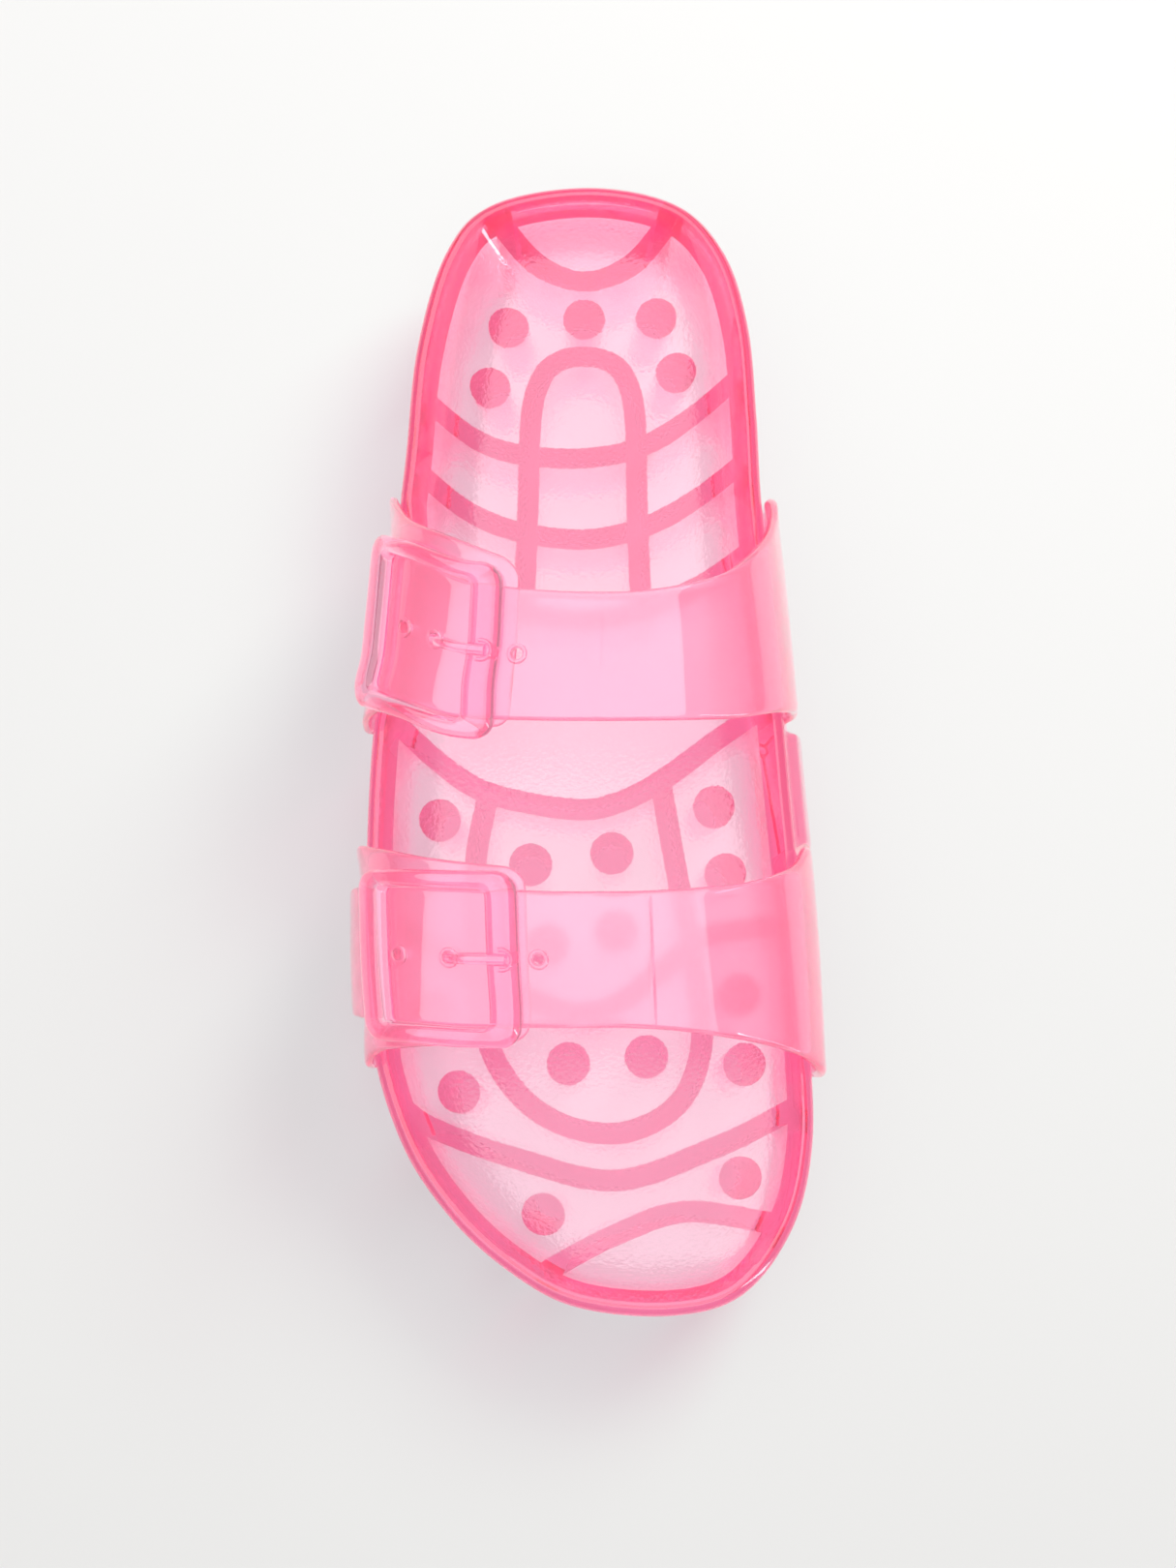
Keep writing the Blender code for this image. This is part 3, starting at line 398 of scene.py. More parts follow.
count = len(edge)
corners = np.vstack([low, high] + rings + [top])
first_ring = len(low) + len(high)
first_top = first_ring + count * len(rings)
floor_corner = [i if n is None else first_ring + n for i, n in enumerate(edge_number)]
ceiling_corner = [len(low) + i for i in range(len(high))]
faces = []
borders = {}
for face, open_cell in zip(triangles, in_cell):
    level = ceiling_corner if open_cell else floor_corner
    faces.append([level[v] for v in face])
    for a, b in zip(face, face[1:] + face[:1]):
        borders.setdefault(tuple(sorted((a, b))), []).append(open_cell)
for (a, b), cells in borders.items():
    if len(cells) == 2 and cells[0] != cells[1]:
        faces.append([floor_corner[a], floor_corner[b], ceiling_corner[b], ceiling_corner[a]])
for k in range(len(rings) - 1):
    for i in range(count):
        below, above, j = first_ring + k * count, first_ring + (k + 1) * count, (i + 1) % count
        faces.append([below + i, below + j, above + j, above + i])
for face in top_triangles:
    faces.append([first_top + v if ring_number[v] is None
                  else first_ring + (len(rings) - 1) * count + ring_number[v] for v in face])

# The mould was grained in the middle of the footbed and frosted underneath.
depth_in = from_edge(corners[:, :2])[0]
on_top = corners[:, 2] > bed_height(corners[:, :2]) - SKIN / 2
satin = smoothstep(SATIN_BORDER[0] * CUP_WIDTH, SATIN_BORDER[1] * CUP_WIDTH, depth_in) * on_top
satin[:first_ring] = 1.0
used = sorted({v for face in faces for v in face})
renumber = {v: i for i, v in enumerate(used)}
corners, satin = corners[used], satin[used]
faces = [[renumber[v] for v in face] for face in faces]

# The mesh is made round the middle of the plan, and the frame says where the sole's middle is.
sole_box = np.array(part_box("sole"))
home = sole_box.mean(0) - (corners.min(0) + corners.max(0)) / 2
home[2] = FLOOR_CLEARANCE

# The jelly's dye takes green out of the light first and blue next, the more the deeper it goes.
DYE = (1.0, 0.10, 0.52)
DYE_DEPTH = 68.0            # per metre
# Painted light: every jelly gives off a faint pink glow of its own, which keeps its deep parts
# bright red.
PAINTED_GLOW_COLOUR = (1.0, 0.12, 0.34)
PAINTED_GLOW = 0.085
SHADOW_TINT = (0.865, 0.955, 0.93, 1.0)     # left of a lamp's light behind each skin
JELLY_IOR = 1.45
COAT = 0.9
COAT_ROUGHNESS = 0.04
COAT_IOR = 1.8
CLOUD_SCALE = 90.0
UNEVEN = 0.15               # how far the roughness strays from its mean, as a share
GRAIN_SCALE = 1100.0
GRAIN_DEPTH = 0.0002
RIPPLE_SCALE = 60.0
RIPPLE_DEPTH = 0.0006
RIPPLE_STRENGTH = 0.12


def jelly(name, tint, clear, roughness, frost=0.0, grain=0.0):
    """Clear pink PVC. The satin attribute says where the mould was frosted or grained."""
    material = bpy.data.materials.new(name)
    material.use_nodes = True
    nodes = material.node_tree.nodes
    link = material.node_tree.links.new
    shader = nodes["Principled BSDF"]
    output = nodes["Material Output"]
    shader.inputs["Base Color"].default_value = (*tint, 1.0)
    shader.inputs["Metallic"].default_value = 0.0
    shader.inputs["Transmission Weight"].default_value = clear
    shader.inputs["IOR"].default_value = JELLY_IOR
    shader.inputs["Coat Weight"].default_value = COAT
    shader.inputs["Coat Roughness"].default_value = COAT_ROUGHNESS
    shader.inputs["Coat IOR"].default_value = COAT_IOR
    # Painted light: a faint pink glow from the jelly itself, though it is no lamp.
    shader.inputs["Emission Color"].default_value = (*PAINTED_GLOW_COLOUR, 1.0)
    shader.inputs["Emission Strength"].default_value = PAINTED_GLOW

    satin = nodes.new("ShaderNodeAttribute")
    satin.attribute_name = "satin"
    place = nodes.new("ShaderNodeTexCoord")
    cloud = nodes.new("ShaderNodeTexNoise")
    cloud.inputs["Scale"].default_value = CLOUD_SCALE
    cloud.inputs["Detail"].default_value = 2.0
    link(place.outputs["Object"], cloud.inputs["Vector"])
    uneven = nodes.new("ShaderNodeMapRange")
    uneven.inputs["To Min"].default_value = (1 - UNEVEN) * roughness
    uneven.inputs["To Max"].default_value = (1 + UNEVEN) * roughness
    link(cloud.outputs["Fac"], uneven.inputs["Value"])
    rougher = nodes.new("ShaderNodeMath")
    rougher.operation = "MULTIPLY_ADD"
    rougher.inputs[1].default_value = frost
    link(satin.outputs["Fac"], rougher.inputs[0])
    link(uneven.outputs["Result"], rougher.inputs[2])
    link(rougher.outputs["Value"], shader.inputs["Roughness"])

    grains = nodes.new("ShaderNodeTexNoise")
    grains.inputs["Scale"].default_value = GRAIN_SCALE
    grains.inputs["Detail"].default_value = 1.0
    link(place.outputs["Object"], grains.inputs["Vector"])
    ripple = nodes.new("ShaderNodeTexNoise")
    ripple.inputs["Scale"].default_value = RIPPLE_SCALE
    link(place.outputs["Object"], ripple.inputs["Vector"])
    strength = nodes.new("ShaderNodeMath")
    strength.operation = "MULTIPLY"
    strength.inputs[1].default_value = grain
    link(satin.outputs["Fac"], strength.inputs[0])
    rough_skin = nodes.new("ShaderNodeBump")
    rough_skin.inputs["Distance"].default_value = GRAIN_DEPTH
    link(strength.outputs["Value"], rough_skin.inputs["Strength"])
    link(grains.outputs["Fac"], rough_skin.inputs["Height"])
    wavy_skin = nodes.new("ShaderNodeBump")
    wavy_skin.inputs["Distance"].default_value = RIPPLE_DEPTH
    wavy_skin.inputs["Strength"].default_value = RIPPLE_STRENGTH
    link(ripple.outputs["Fac"], wavy_skin.inputs["Height"])
    link(rough_skin.outputs["Normal"], wavy_skin.inputs["Normal"])
    link(wavy_skin.outputs["Normal"], shader.inputs["Normal"])
    link(wavy_skin.outputs["Normal"], shader.inputs["Coat Normal"])

    # Lamps shine through to the floor, and each skin that they cross takes a little of the light.
    lamp_ray = nodes.new("ShaderNodeLightPath")
    see_through = nodes.new("ShaderNodeBsdfTransparent")
    see_through.inputs["Color"].default_value = SHADOW_TINT
    either = nodes.new("ShaderNodeMixShader")
    link(lamp_ray.outputs["Is Shadow Ray"], either.inputs["Fac"])
    link(shader.outputs["BSDF"], either.inputs[1])
    link(see_through.outputs["BSDF"], either.inputs[2])
    link(either.outputs["Shader"], output.inputs["Surface"])
    depth = nodes.new("ShaderNodeVolumeAbsorption")
    depth.inputs["Color"].default_value = (*DYE, 1.0)
    depth.inputs["Density"].default_value = DYE_DEPTH
    link(depth.outputs["Volume"], output.inputs["Volume"])
    return material


sole_jelly = jelly("sole_jelly", tint=(1.0, 0.97, 0.985), clear=0.97, roughness=0.06,
                   frost=0.18, grain=0.8)
sole = moulded("sole_moulding", corners + home, faces, sole_jelly, satin)
sole.visible_diffuse = False
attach(sole, "root")
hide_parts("sole")


# Two straps arch over the foot from the inner wall and lie over a short flap that rises from
# the outer wall. Each is a band moulded of the same PVC, glossy outside and frosted inside, with
# round edges and a fine line where the halves of the mould part.
CREST_HEIGHT = 0.0760       # inside of the straps over the ball's end of the instep
CREST_ALONG = 0.030         # where the foot's form has that height, from the sole's middle
INSTEP_SLOPE = 0.22         # fall of the foot's form towards the toe
CREST_SHIFT = 0.003         # the instep's ridge lies towards the big toe
ROOT_HEIGHT = 0.013         # lower end of the straps on the side wall, above the floor
FLAP_THICKNESS = 0.0022
HOLE_RADIUS = 0.0013
GAP = 0.0003                # between pieces that touch on the real sandal
ARCH_POWER = 0.75           # 1 is an ellipse, less is squarer
FULL_DROP = 20.0            # degrees below the rim that stand for the whole root
RAMP = (22.0, 5.0)          # degrees before the flap's end where the strap climbs over it
ROOT_SWELL = 0.40           # extra thickness of the strap where it leaves the inner wall
ROOT_SWELL_SPAN = (-2, 18)  # degrees over which that thickness fades out
ROOT_THINNING = 0.60        # loss of thickness of the strap at the lower end of its root
ROOT_THINNING_FROM = 2      # degrees below the rim where it starts
FLAP_THINNING = 0.30        # the same for the flap
FLAP_TIP = (0.55, 10)       # share of its thickness at the flap's free end, and degrees to full
END_CORNER = 0.005          # round corners of the free ends of straps and flaps
END_THINNEST = 0.02         # what is left of the edge's roundness at those ends, squared
EDGE_TURNS = 8
BAND_STEPS = 25
PARTING = {"rear": 89.6, "front": 82.0}     # degrees round the foot
PARTING_RAISE = 0.00016
PARTING_REACH = 0.2
PARTING_ROWS = (-0.9, -0.35, 0.0, 0.35, 0.9)

wall_sides = {}
for side in (1, -1):
    wall_sides[side] = []
    for loop in side_rings:
        half = loop[loop[:, 0] * side > 0]
        wall_sides[side].append(half[half[:, 1].argsort()])


def wall_x(along, height, side):
    """Outer face of the sole's wall at places along it and heights, and the rim's height."""
    heights = np.array([np.interp(along, half[:, 1], half[:, 2]) for half in wall_sides[side]])
    places = np.array([np.interp(along, half[:, 1], half[:, 0]) for half in wall_sides[side]])
    found = [np.interp(h, heights[:, i], places[:, i]) for i, h in enumerate(height)]
    return np.array(found), heights[-1]


def foot_form(angle, along):
    """Form that the straps lie on: down the wall, up and over the instep."""
    angle, along = (np.array(v, float) for v in np.broadcast_arrays(angle, along))
    top = CREST_HEIGHT + INSTEP_SLOPE * (along - CREST_ALONG)
    side = np.where(angle < 90, 1, -1)
    high = np.ones_like(along)
    inner, rim_in = wall_x(along, high, 1)
    outer, rim_out = wall_x(along, high, -1)
    edge_x, rim = np.where(side > 0, inner, outer), np.where(side > 0, rim_in, rim_out)
    ridge = (inner + outer) / 2 + CREST_SHIFT
    turn = np.radians(angle)
    reach = np.abs(edge_x + side * GAP - ridge)
    x = ridge + side * reach * np.abs(np.cos(turn)) ** ARCH_POWER
    z = rim + (top - rim) * np.abs(np.sin(turn)) ** ARCH_POWER
    down = np.maximum(-angle, angle - 180) / FULL_DROP
    z = np.where(down > 0, rim + down * (ROOT_HEIGHT - rim), z)
    wall = np.where(side > 0, wall_x(along, z, 1)[0], wall_x(along, z, -1)[0]) + side * GAP
    return np.column_stack([np.where(down > 0, wall, x), along, z])


def outward(angle, along):
    """Direction off the foot's form, level where the straps lie on the wall."""
    angle, along = (np.array(v, float) for v in np.broadcast_arrays(angle, along))
    round_foot = (foot_form(np.clip(angle + 1, 0, 180), along)
                  - foot_form(np.clip(angle - 1, 0, 180), along))
    down_foot = foot_form(np.clip(angle, 0, 180), along + 0.001)
    down_foot -= foot_form(np.clip(angle, 0, 180), along - 0.001)
    normal = np.cross(down_foot, round_foot)
    normal /= np.linalg.norm(normal, axis=1)[:, None]
    flat = np.column_stack([np.where(angle < 90, 1.0, -1.0), 0 * angle, 0 * angle])
    on_wall = ((angle <= 0) | (angle >= 180))[:, None]
    return np.where(on_wall, flat, normal)


def on_strap(table, angle, across, height):
    """Places on a strap: across is 0 at its toe edge and 1 at its heel edge."""
    toe = column(table, angle, 1) * SOLE_LENGTH
    heel = column(table, angle, 2) * SOLE_LENGTH
    along = toe + np.asarray(across) * (heel - toe)
    return foot_form(angle, along) + outward(angle, along) * np.asarray(height)[..., None]


def leaf(name, table, angles, base, thick, parting, round_last, material):
    """Band on the foot's form with half-round edges and one free end with round corners."""
    middle = on_strap(table, angles, 0.5 + 0 * angles, 0 * angles)
    run = np.concatenate([[0], np.cumsum(np.linalg.norm(np.diff(middle, axis=0), axis=1))])
    rest = run[-1] - run if round_last else run
    width = (column(table, angles, 2) - column(table, angles, 1)) * SOLE_LENGTH
    cut = np.clip(END_CORNER - rest, 0, None)
    inset = (END_CORNER - np.sqrt(END_CORNER**2 - cut**2)) / width
    ends = np.minimum(rest, run[-1] - run)
    tip = np.clip(1 - ends / (thick / 2), 0, 1)
    round_tip = np.sqrt(np.clip(1 - tip**2, END_THINNEST, 1))

    # Section of the band, round from its toe edge: inner face, heel edge, outer face, toe edge.
    flat = np.linspace(0, 1, BAND_STEPS)
    arc = np.radians(np.linspace(-90, 90, EDGE_TURNS + 1))[1:-1]
    up, out = 0.5 + 0.5 * np.sin(arc), np.cos(arc)
    shares = np.concatenate([flat, 1 + 0 * arc, flat[::-1], 0 * arc])[None]
    levels = np.concatenate([0 * flat, up, 1 + 0 * flat, up[::-1]])[None]
    bulges = np.concatenate([0 * flat, out, 0 * flat, -out[::-1]])[None]

    radius = (thick / 2 / width)[:, None]
    inset = inset[:, None]
    across = (inset + radius) + shares * (1 - 2 * inset - 2 * radius)
    across = across + bulges * radius * round_tip[:, None]
    height = base[:, None] + thick[:, None] * (0.5 + (levels - 0.5) * round_tip[:, None])
    raised = (levels > 0.99) * (np.abs(angles - parting) < PARTING_REACH)[:, None]
    height = height + PARTING_RAISE * raised
    every = np.broadcast_to(angles[:, None], across.shape)
    corners = on_strap(table, every.ravel(), across.ravel(), height.ravel())
    size = across.shape[1]
    faces = []
    for k in range(len(angles) - 1):
        for i in range(size):
            j = (i + 1) % size
            faces.append([k * size + i, k * size + j, (k + 1) * size + j, (k + 1) * size + i])
    faces.append(list(range(size)))
    faces.append([(len(angles) - 1) * size + i for i in range(size)])
    frosted = np.broadcast_to(1.0 - levels, across.shape)
    return moulded(name, corners + home, faces, material, frosted.ravel())


strap_jelly = jelly("strap_jelly", tint=(1.0, 0.69, 0.81), clear=0.88, roughness=0.05,
                    frost=0.20)
# Rows crowd towards the free ends, in degrees, and down the roots, in shares of FULL_DROP.
tips = np.array([0.0, 0.12, 0.3, 0.6, 1.0, 1.5, 2.2, 3.2, 4.5, 6.0, 8.0, 10.0])
roots = np.array([0.0, 0.02, 0.05, 0.10, 0.15, 0.20, 0.26, 0.34, 0.42, 0.50, 0.58, 0.66, 0.74,
                  0.82, 0.90, 0.95, 0.98, 0.995, 1.0])
straps = {}
for end in ("rear", "front"):
    table, flap = STRAPS[end], FLAPS[end]
    climb = flap[0][0]
    tail = table[-1][0] - 180
    angles = np.concatenate([-FULL_DROP * roots[::-1], np.arange(2, 179, 2.0), 180 + tail * roots])
    parting_rows = [PARTING[end] + step for step in PARTING_ROWS]
    angles = np.array(sorted(set(np.round(np.concatenate([angles, parting_rows]), 4))))
    lift = (FLAP_THICKNESS + GAP) * smoothstep(climb - RAMP[0], climb - RAMP[1], angles)
    down = np.maximum(-angles, angles - 180)
    thick = STRAP_THICKNESS * (1 + ROOT_SWELL * (1 - smoothstep(*ROOT_SWELL_SPAN, angles))
                               - ROOT_THINNING * smoothstep(ROOT_THINNING_FROM, FULL_DROP, down))
    straps[end] = leaf(f"strap_band_{end}", table, angles, lift, thick, PARTING[end], True,
                       strap_jelly)

    angles = np.concatenate([climb + tips, np.arange(climb + 12, 179, 2.5), 180 + FULL_DROP * roots])
    grown = smoothstep(climb, climb + FLAP_TIP[1], angles)
    thick = FLAP_THICKNESS * (FLAP_TIP[0] + (1 - FLAP_TIP[0]) * grown)
    thick = thick * (1 - FLAP_THINNING * smoothstep(180, 180 + FULL_DROP, angles))
    flap_band = leaf(f"flap_band_{end}", flap, angles, 0 * angles, thick, math.inf, False,
                     strap_jelly)
    flap_band.visible_diffuse = False
    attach(flap_band, "root")
    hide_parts(f"flap_{end}")


# Each buckle is a square frame of round bars, moulded clearer than the straps, and a pin of the
# same PVC that comes up through a strap hole and rests in a notch of the inner bar. The holes
# have a raised bead round them, and the bar has an open collar where the pin rests.
FRAME_ACROSS = 0.039        # along the strap
FRAME_LENGTH = 0.040        # across the strap
FRAME_HEIGHT = 0.0038
FRAME_BAR = 0.0074          # the two bars that cross the strap
FRAME_SIDE = 0.0043         # the two bars beside the strap
FRAME_CORNER = 0.0050
WINDOW_CORNER = 0.0018
FRAME_FOOT = 0.12           # upright foot of the bars' section, as a share of their height
FRAME_ROUNDNESS = 0.55      # 1 is a half circle over it, less is squarer
FRAME_SEAT = (0.94, 0.06)   # flat underside of the bars, as shares of their width
FRAME_TURNS = 14
PRONG_RADIUS = 0.0012
PRONG_REACH = 0.0130        # from its hole to the middle of the bar that it rests on
PRONG_FOOT = 0.0001
PRONG_SINK = 0.4            # depth of the notch in the bar, as a share of PRONG_RADIUS
PRONG_STEPS = 33
BUCKLE_CENTRE = {"rear": 130.0, "front": 125.0}     # degrees round the foot
BUCKLE_SIDE = (60, 200)     # degrees between which the buckles and holes lie
HOLES = {"rear": (0.0095, -0.0205), "front": (0.0130, -0.0210)}     # round from the prong's hole
BEAD = 0.00055
BEAD_STEPS = 41
COLLAR_RADIUS = 0.0023
COLLAR_OPENING = 150.0
STRAP_UNDER = FLAP_THICKNESS + GAP
STRAP_OVER = STRAP_UNDER + STRAP_THICKNESS
FRAME_UNDER = STRAP_OVER + 1.5 * GAP
FRAME_OVER = FRAME_UNDER + FRAME_HEIGHT


def strap_place(end, round_strap, over_strap, height):
    """Places at distances round the strap and across it from the buckle's centre."""
    table = STRAPS[end]
    angles = np.arange(*BUCKLE_SIDE, 1.0)
    line = on_strap(table, angles, 0.5 + 0 * angles, 0 * angles + FLAP_THICKNESS + STRAP_THICKNESS)
    run = np.concatenate([[0], np.cumsum(np.linalg.norm(np.diff(line, axis=0), axis=1))])
    start = np.interp(BUCKLE_CENTRE[end], angles, run)
    angle = np.interp(start + np.asarray(round_strap), run, angles)
    width = (column(table, angle, 2) - column(table, angle, 1)) * SOLE_LENGTH
    return on_strap(table, angle, 0.5 + np.asarray(over_strap) / width, height) + home


def rounded_rectangle(half_round, half_over, radius, turns=8, runs=14):
    """Closed loop of a rectangle with round corners."""
    loop = []
    corners = ((1, 1), (-1, 1), (-1, -1), (1, -1))
    for number in range(4):
        arc = []
        for corner in (number, (number + 1) % 4):
            sx, sy = corners[corner]
            centre = np.array([sx * (half_round - radius), sy * (half_over - radius)])
            steps = np.radians(90 * (corner + np.arange(turns + 1) / turns))
            arc.append(centre + radius * np.column_stack([np.cos(steps), np.sin(steps)]))
        loop += list(arc[0])
        for k in range(1, runs):
            loop.append(arc[0][-1] + (arc[1][0] - arc[0][-1]) * k / runs)
    return np.array(loop)


def pin_tube(name, path, radius, material, sides=20, closed=False):
    """Round bar along a path, made by geometry nodes: a curve swept with a circle and capped."""
    line = bpy.data.meshes.new(name)
    steps = [(i, i + 1) for i in range(len(path) - 1)]
    if closed:
        steps.append((len(path) - 1, 0))
    line.from_pydata([tuple(p) for p in path], steps, [])
    piece = bpy.data.objects.new(name, line)
    bpy.context.collection.objects.link(piece)
    tree = bpy.data.node_groups.new(name, "GeometryNodeTree")
    tree.interface.new_socket("Geometry", in_out="INPUT", socket_type="NodeSocketGeometry")
    size = tree.interface.new_socket("Radius", in_out="INPUT", socket_type="NodeSocketFloat")
    tree.interface.new_socket("Geometry", in_out="OUTPUT", socket_type="NodeSocketGeometry")
    start = tree.nodes.new("NodeGroupInput")
    curve = tree.nodes.new("GeometryNodeMeshToCurve")
    circle_line = tree.nodes.new("GeometryNodeCurvePrimitiveCircle")
    circle_line.inputs["Resolution"].default_value = sides
    sweep = tree.nodes.new("GeometryNodeCurveToMesh")
    sweep.inputs["Fill Caps"].default_value = True
    realize = tree.nodes.new("GeometryNodeRealizeInstances")
    paint = tree.nodes.new("GeometryNodeSetMaterial")
    paint.inputs["Material"].default_value = material
    finish = tree.nodes.new("NodeGroupOutput")
    link = tree.links.new
    link(start.outputs["Geometry"], curve.inputs["Mesh"])
    link(start.outputs["Radius"], circle_line.inputs["Radius"])
    link(curve.outputs["Curve"], sweep.inputs["Curve"])
    link(circle_line.outputs["Curve"], sweep.inputs["Profile Curve"])
    link(sweep.outputs["Mesh"], realize.inputs["Geometry"])
    link(realize.outputs["Geometry"], paint.inputs["Geometry"])
    link(paint.outputs["Geometry"], finish.inputs["Geometry"])
    modifier = piece.modifiers.new("sweep", "NODES")
    modifier.node_group = tree
    modifier[size.identifier] = radius
    return plain(piece)


def plain(piece):
    """The piece with its modifiers worked into a plain mesh, facing out and smooth."""
    bpy.context.view_layer.update()
    evaluated = piece.evaluated_get(bpy.context.evaluated_depsgraph_get())
    mesh = bpy.data.meshes.new_from_object(evaluated)
    piece.modifiers.clear()
    shape = bmesh.new()
    shape.from_mesh(mesh)
    bmesh.ops.remove_doubles(shape, verts=shape.verts, dist=1e-6)
    bmesh.ops.recalc_face_normals(shape, faces=shape.faces)
    shape.to_mesh(mesh)
    shape.free()
    mesh.shade_smooth()
    mesh.set_sharp_from_angle(angle=math.radians(45))
    piece.data = mesh
    return piece


def worked(piece, tool, operation):
    """Join a tool to a piece or cut it away, which plain() then works into the mesh."""
    modifier = piece.modifiers.new(tool.name, "BOOLEAN")
    modifier.operation = operation
    modifier.solver = "EXACT"
    modifier.object = tool


def frame_top(round_strap):
    """Top of the frame's bars at distances round the strap from its middle."""
    share = np.clip((FRAME_ACROSS / 2 - np.abs(round_strap)) / FRAME_BAR, 0.0, 1.0)
    level = np.sin(np.arccos(1 - 2 * share)) ** FRAME_ROUNDNESS
    return FRAME_UNDER + (FRAME_FOOT + (1 - FRAME_FOOT) * level) * FRAME_HEIGHT


def strap_top(round_strap):
    return STRAP_OVER + 0 * round_strap


def bead(end, spot, radius, height, opening):
    """Raised bead round a spot on the strap or bar, open for some degrees towards the window."""
    turns = np.radians(np.linspace(opening / 2, 360 - opening / 2, BEAD_STEPS))
    if not opening:
        turns = turns[:-1]
    round_strap = spot + radius * np.cos(turns)
    path = strap_place(end, round_strap, radius * np.sin(turns), height(round_strap))
    return pin_tube("bead", path, BEAD, buckle_jelly, 12, not opening)


buckle_jelly = jelly("buckle_jelly", tint=(1.0, 0.78, 0.86), clear=0.97, roughness=0.04)
for end in ("rear", "front"):
    outer = rounded_rectangle(FRAME_ACROSS / 2, FRAME_LENGTH / 2, FRAME_CORNER)
    window = rounded_rectangle(FRAME_ACROSS / 2 - FRAME_BAR, FRAME_LENGTH / 2 - FRAME_SIDE,
                               WINDOW_CORNER)
    turns = np.radians(np.linspace(0, 180, FRAME_TURNS + 1))
    shares = (1 - np.cos(turns)) / 2
    levels = FRAME_FOOT + (1 - FRAME_FOOT) * np.sin(turns) ** FRAME_ROUNDNESS
    shares = np.concatenate([shares, FRAME_SEAT])
    levels = np.concatenate([levels, [0.0, 0.0]])
    size = len(shares)
    places = outer[:, None] + shares[None, :, None] * (window - outer)[:, None]
    heights = np.broadcast_to(FRAME_UNDER + levels * FRAME_HEIGHT, places.shape[:2])
    corners = strap_place(end, places[..., 0].ravel(), places[..., 1].ravel(), heights.ravel())
    faces = []
    for k in range(len(outer)):
        n = (k + 1) % len(outer)
        for i in range(size):
            j = (i + 1) % size
            faces.append([k * size + i, k * size + j, n * size + j, n * size + i])
    buckle = moulded(f"buckle_frame_{end}", corners, faces, buckle_jelly)

    bar = -(FRAME_ACROSS - FRAME_BAR) / 2
    root = bar + PRONG_REACH
    rest = FRAME_OVER - PRONG_SINK * PRONG_RADIUS
    # Bends of the pin from its foot in the hole to the bar. (round the strap, height)
    bends = np.array([
        (root, STRAP_UNDER + PRONG_FOOT),
        (root, STRAP_OVER + 0.3 * PRONG_RADIUS),
        (root - 0.35 * PRONG_RADIUS, STRAP_OVER + 1.4 * PRONG_RADIUS),
        (root - 2.2 * PRONG_RADIUS, rest - 0.6 * PRONG_RADIUS),
        (root - 4.0 * PRONG_RADIUS, rest),
        (bar - 0.10 * FRAME_BAR, rest),
    ])
    steps = np.linspace(0, len(bends) - 1, PRONG_STEPS)
    path = np.column_stack([np.interp(steps, np.arange(len(bends)), bends[:, k]) for k in (0, 1)])
    for rounding in range(3):
        path[1:-1] = (path[:-2] + 2 * path[1:-1] + path[2:]) / 4
    prong = pin_tube(f"prong_pin_{end}", strap_place(end, path[:, 0], 0 * path[:, 0], path[:, 1]),
                     PRONG_RADIUS, buckle_jelly)

    # The straps are finished here too, because their holes and grooves follow the pins.
    collar = bead(end, bar, COLLAR_RADIUS, frame_top, COLLAR_OPENING)
    worked(buckle, collar, "UNION")
    tools = [collar]
    for step in (0.0,) + HOLES[end]:
        ring = bead(end, root + step, HOLE_RADIUS + BEAD, strap_top, 0.0)
        worked(straps[end], ring, "UNION")
        tools.append(ring)

    # The pin's groove in strap and bar is a pin with room round it, longer at both ends.
    room = path.copy()
    room[0, 1] -= 3 * GAP
    room[-1, 0] -= 2 * GAP
    groove = pin_tube("groove", strap_place(end, room[:, 0], 0 * room[:, 0], room[:, 1]),
                      PRONG_RADIUS + GAP, buckle_jelly)
    worked(straps[end], groove, "DIFFERENCE")
    worked(buckle, groove, "DIFFERENCE")
    tools.append(groove)
    for step in HOLES[end]:
        heights = np.linspace(STRAP_UNDER - GAP / 2, STRAP_OVER + 2 * BEAD, 4)
        spot = np.full(4, root + step)
        punch = pin_tube("punch", strap_place(end, spot, 0 * spot, heights), HOLE_RADIUS,
                         strap_jelly)
        worked(straps[end], punch, "DIFFERENCE")
        tools.append(punch)
    strap = plain(straps[end])
    buckle = plain(buckle)
    for tool in tools:
        bpy.data.objects.remove(tool)
    for piece, node in ((strap, f"strap_{end}"), (buckle, f"buckle_{end}"),
                        (prong, f"prong_{end}")):
        piece.visible_diffuse = False
        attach(piece, "root")
        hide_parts(node)


# The floor is a sheet of white paper under studio lamps. A wide scrim hangs over it, a smaller
# soft box stands behind the heel's right and throws the shadow, and a low strip at the right
# only shows in the gloss of the straps.
FLOOR_SIZE = 6.0
PAPER = (0.70, 0.697, 0.69, 1.0)
ROOM_LIGHT = (1.0, 0.995, 0.985, 1.0)
ROOM_STRENGTH = 0.30

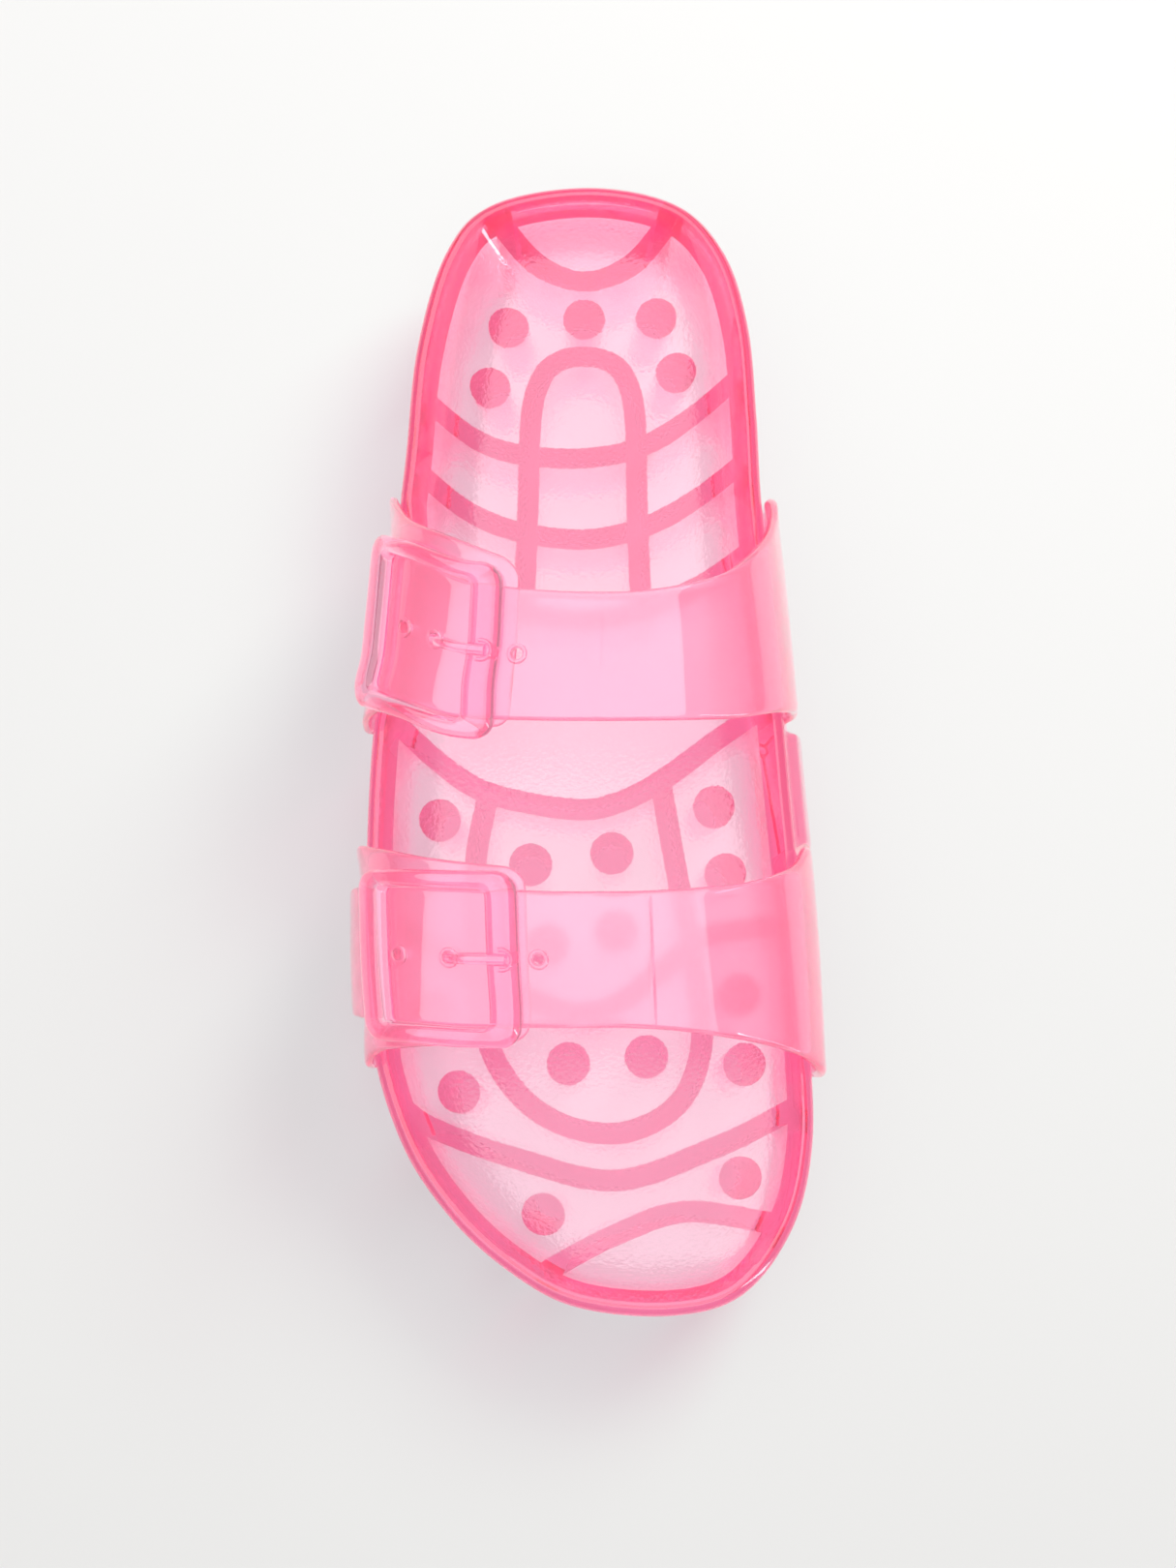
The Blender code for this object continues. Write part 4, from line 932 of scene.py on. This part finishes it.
half = FLOOR_SIZE / 2
floor_mesh = bpy.data.meshes.new("studio_floor")
floor_mesh.from_pydata([(-half, -half, 0), (half, -half, 0), (half, half, 0), (-half, half, 0)],
                       [], [(0, 1, 2, 3)])
floor = bpy.data.objects.new("studio_floor", floor_mesh)
bpy.context.collection.objects.link(floor)
paper = bpy.data.materials.new("paper")
paper.use_nodes = True
matt = paper.node_tree.nodes["Principled BSDF"]
matt.inputs["Base Color"].default_value = PAPER
matt.inputs["Roughness"].default_value = 0.9
matt.inputs["Specular IOR Level"].default_value = 0.1
floor_mesh.materials.append(paper)


def soft_box(name, place, target, width, height, power):
    """Rectangular lamp turned towards its target."""
    lamp = bpy.data.lights.new(name, "AREA")
    lamp.shape = "RECTANGLE"
    lamp.size = width
    lamp.size_y = height
    lamp.energy = power
    box = bpy.data.objects.new(name, lamp)
    box.location = place
    box.rotation_euler = (Vector(target) - Vector(place)).to_track_quat("-Z", "Y").to_euler()
    bpy.context.collection.objects.link(box)
    return box


soft_box("overhead", (-0.42, 0.40, 1.15), (-0.42, 0.40, 0.0), width=1.95, height=2.6, power=19.2)
key = soft_box("key", (0.75, 0.85, 0.95), (0.0, 0.0, 0.02), width=0.7, height=0.7, power=15.5)
key.visible_glossy = False
key.visible_transmission = False
strip = soft_box("right_side", (1.1, -0.7, 0.18), (0.0, -0.7, 0.05),
                 width=0.13, height=2.4, power=6.0)
strip.visible_diffuse = False

world = bpy.data.worlds.new("studio")
bpy.context.scene.world = world
world.use_nodes = True
world.node_tree.nodes["Background"].inputs["Color"].default_value = ROOM_LIGHT
world.node_tree.nodes["Background"].inputs["Strength"].default_value = ROOM_STRENGTH

# Light turns round many times inside the jelly before it comes out again. The floor's own light
# passes by the sandal instead, so that its pink stays off the paper.
paths = bpy.context.scene.cycles
paths.max_bounces = 24
paths.glossy_bounces = 16
paths.transmission_bounces = 24
paths.transparent_max_bounces = 32
paths.caustics_reflective = False

# The camera looks down on the shoe from over its toe.
LENS = 74.7
SENSOR_WIDTH = 36.0
NEAREST = 0.01
EYE_HEIGHT = 0.8025
EYE_TOEWARDS = 0.1759
EYE_TILT = math.radians(12)

camera = bpy.data.cameras.new("camera")
camera.lens = LENS
camera.sensor_width = SENSOR_WIDTH
camera.clip_start = NEAREST
eye = bpy.data.objects.new("camera", camera)
eye.location = (home[0], home[1] - EYE_TOEWARDS, EYE_HEIGHT)
eye.rotation_euler = (EYE_TILT, 0, 0)
bpy.context.collection.objects.link(eye)
bpy.context.scene.camera = eye
bpy.context.scene.view_settings.view_transform = "Standard"
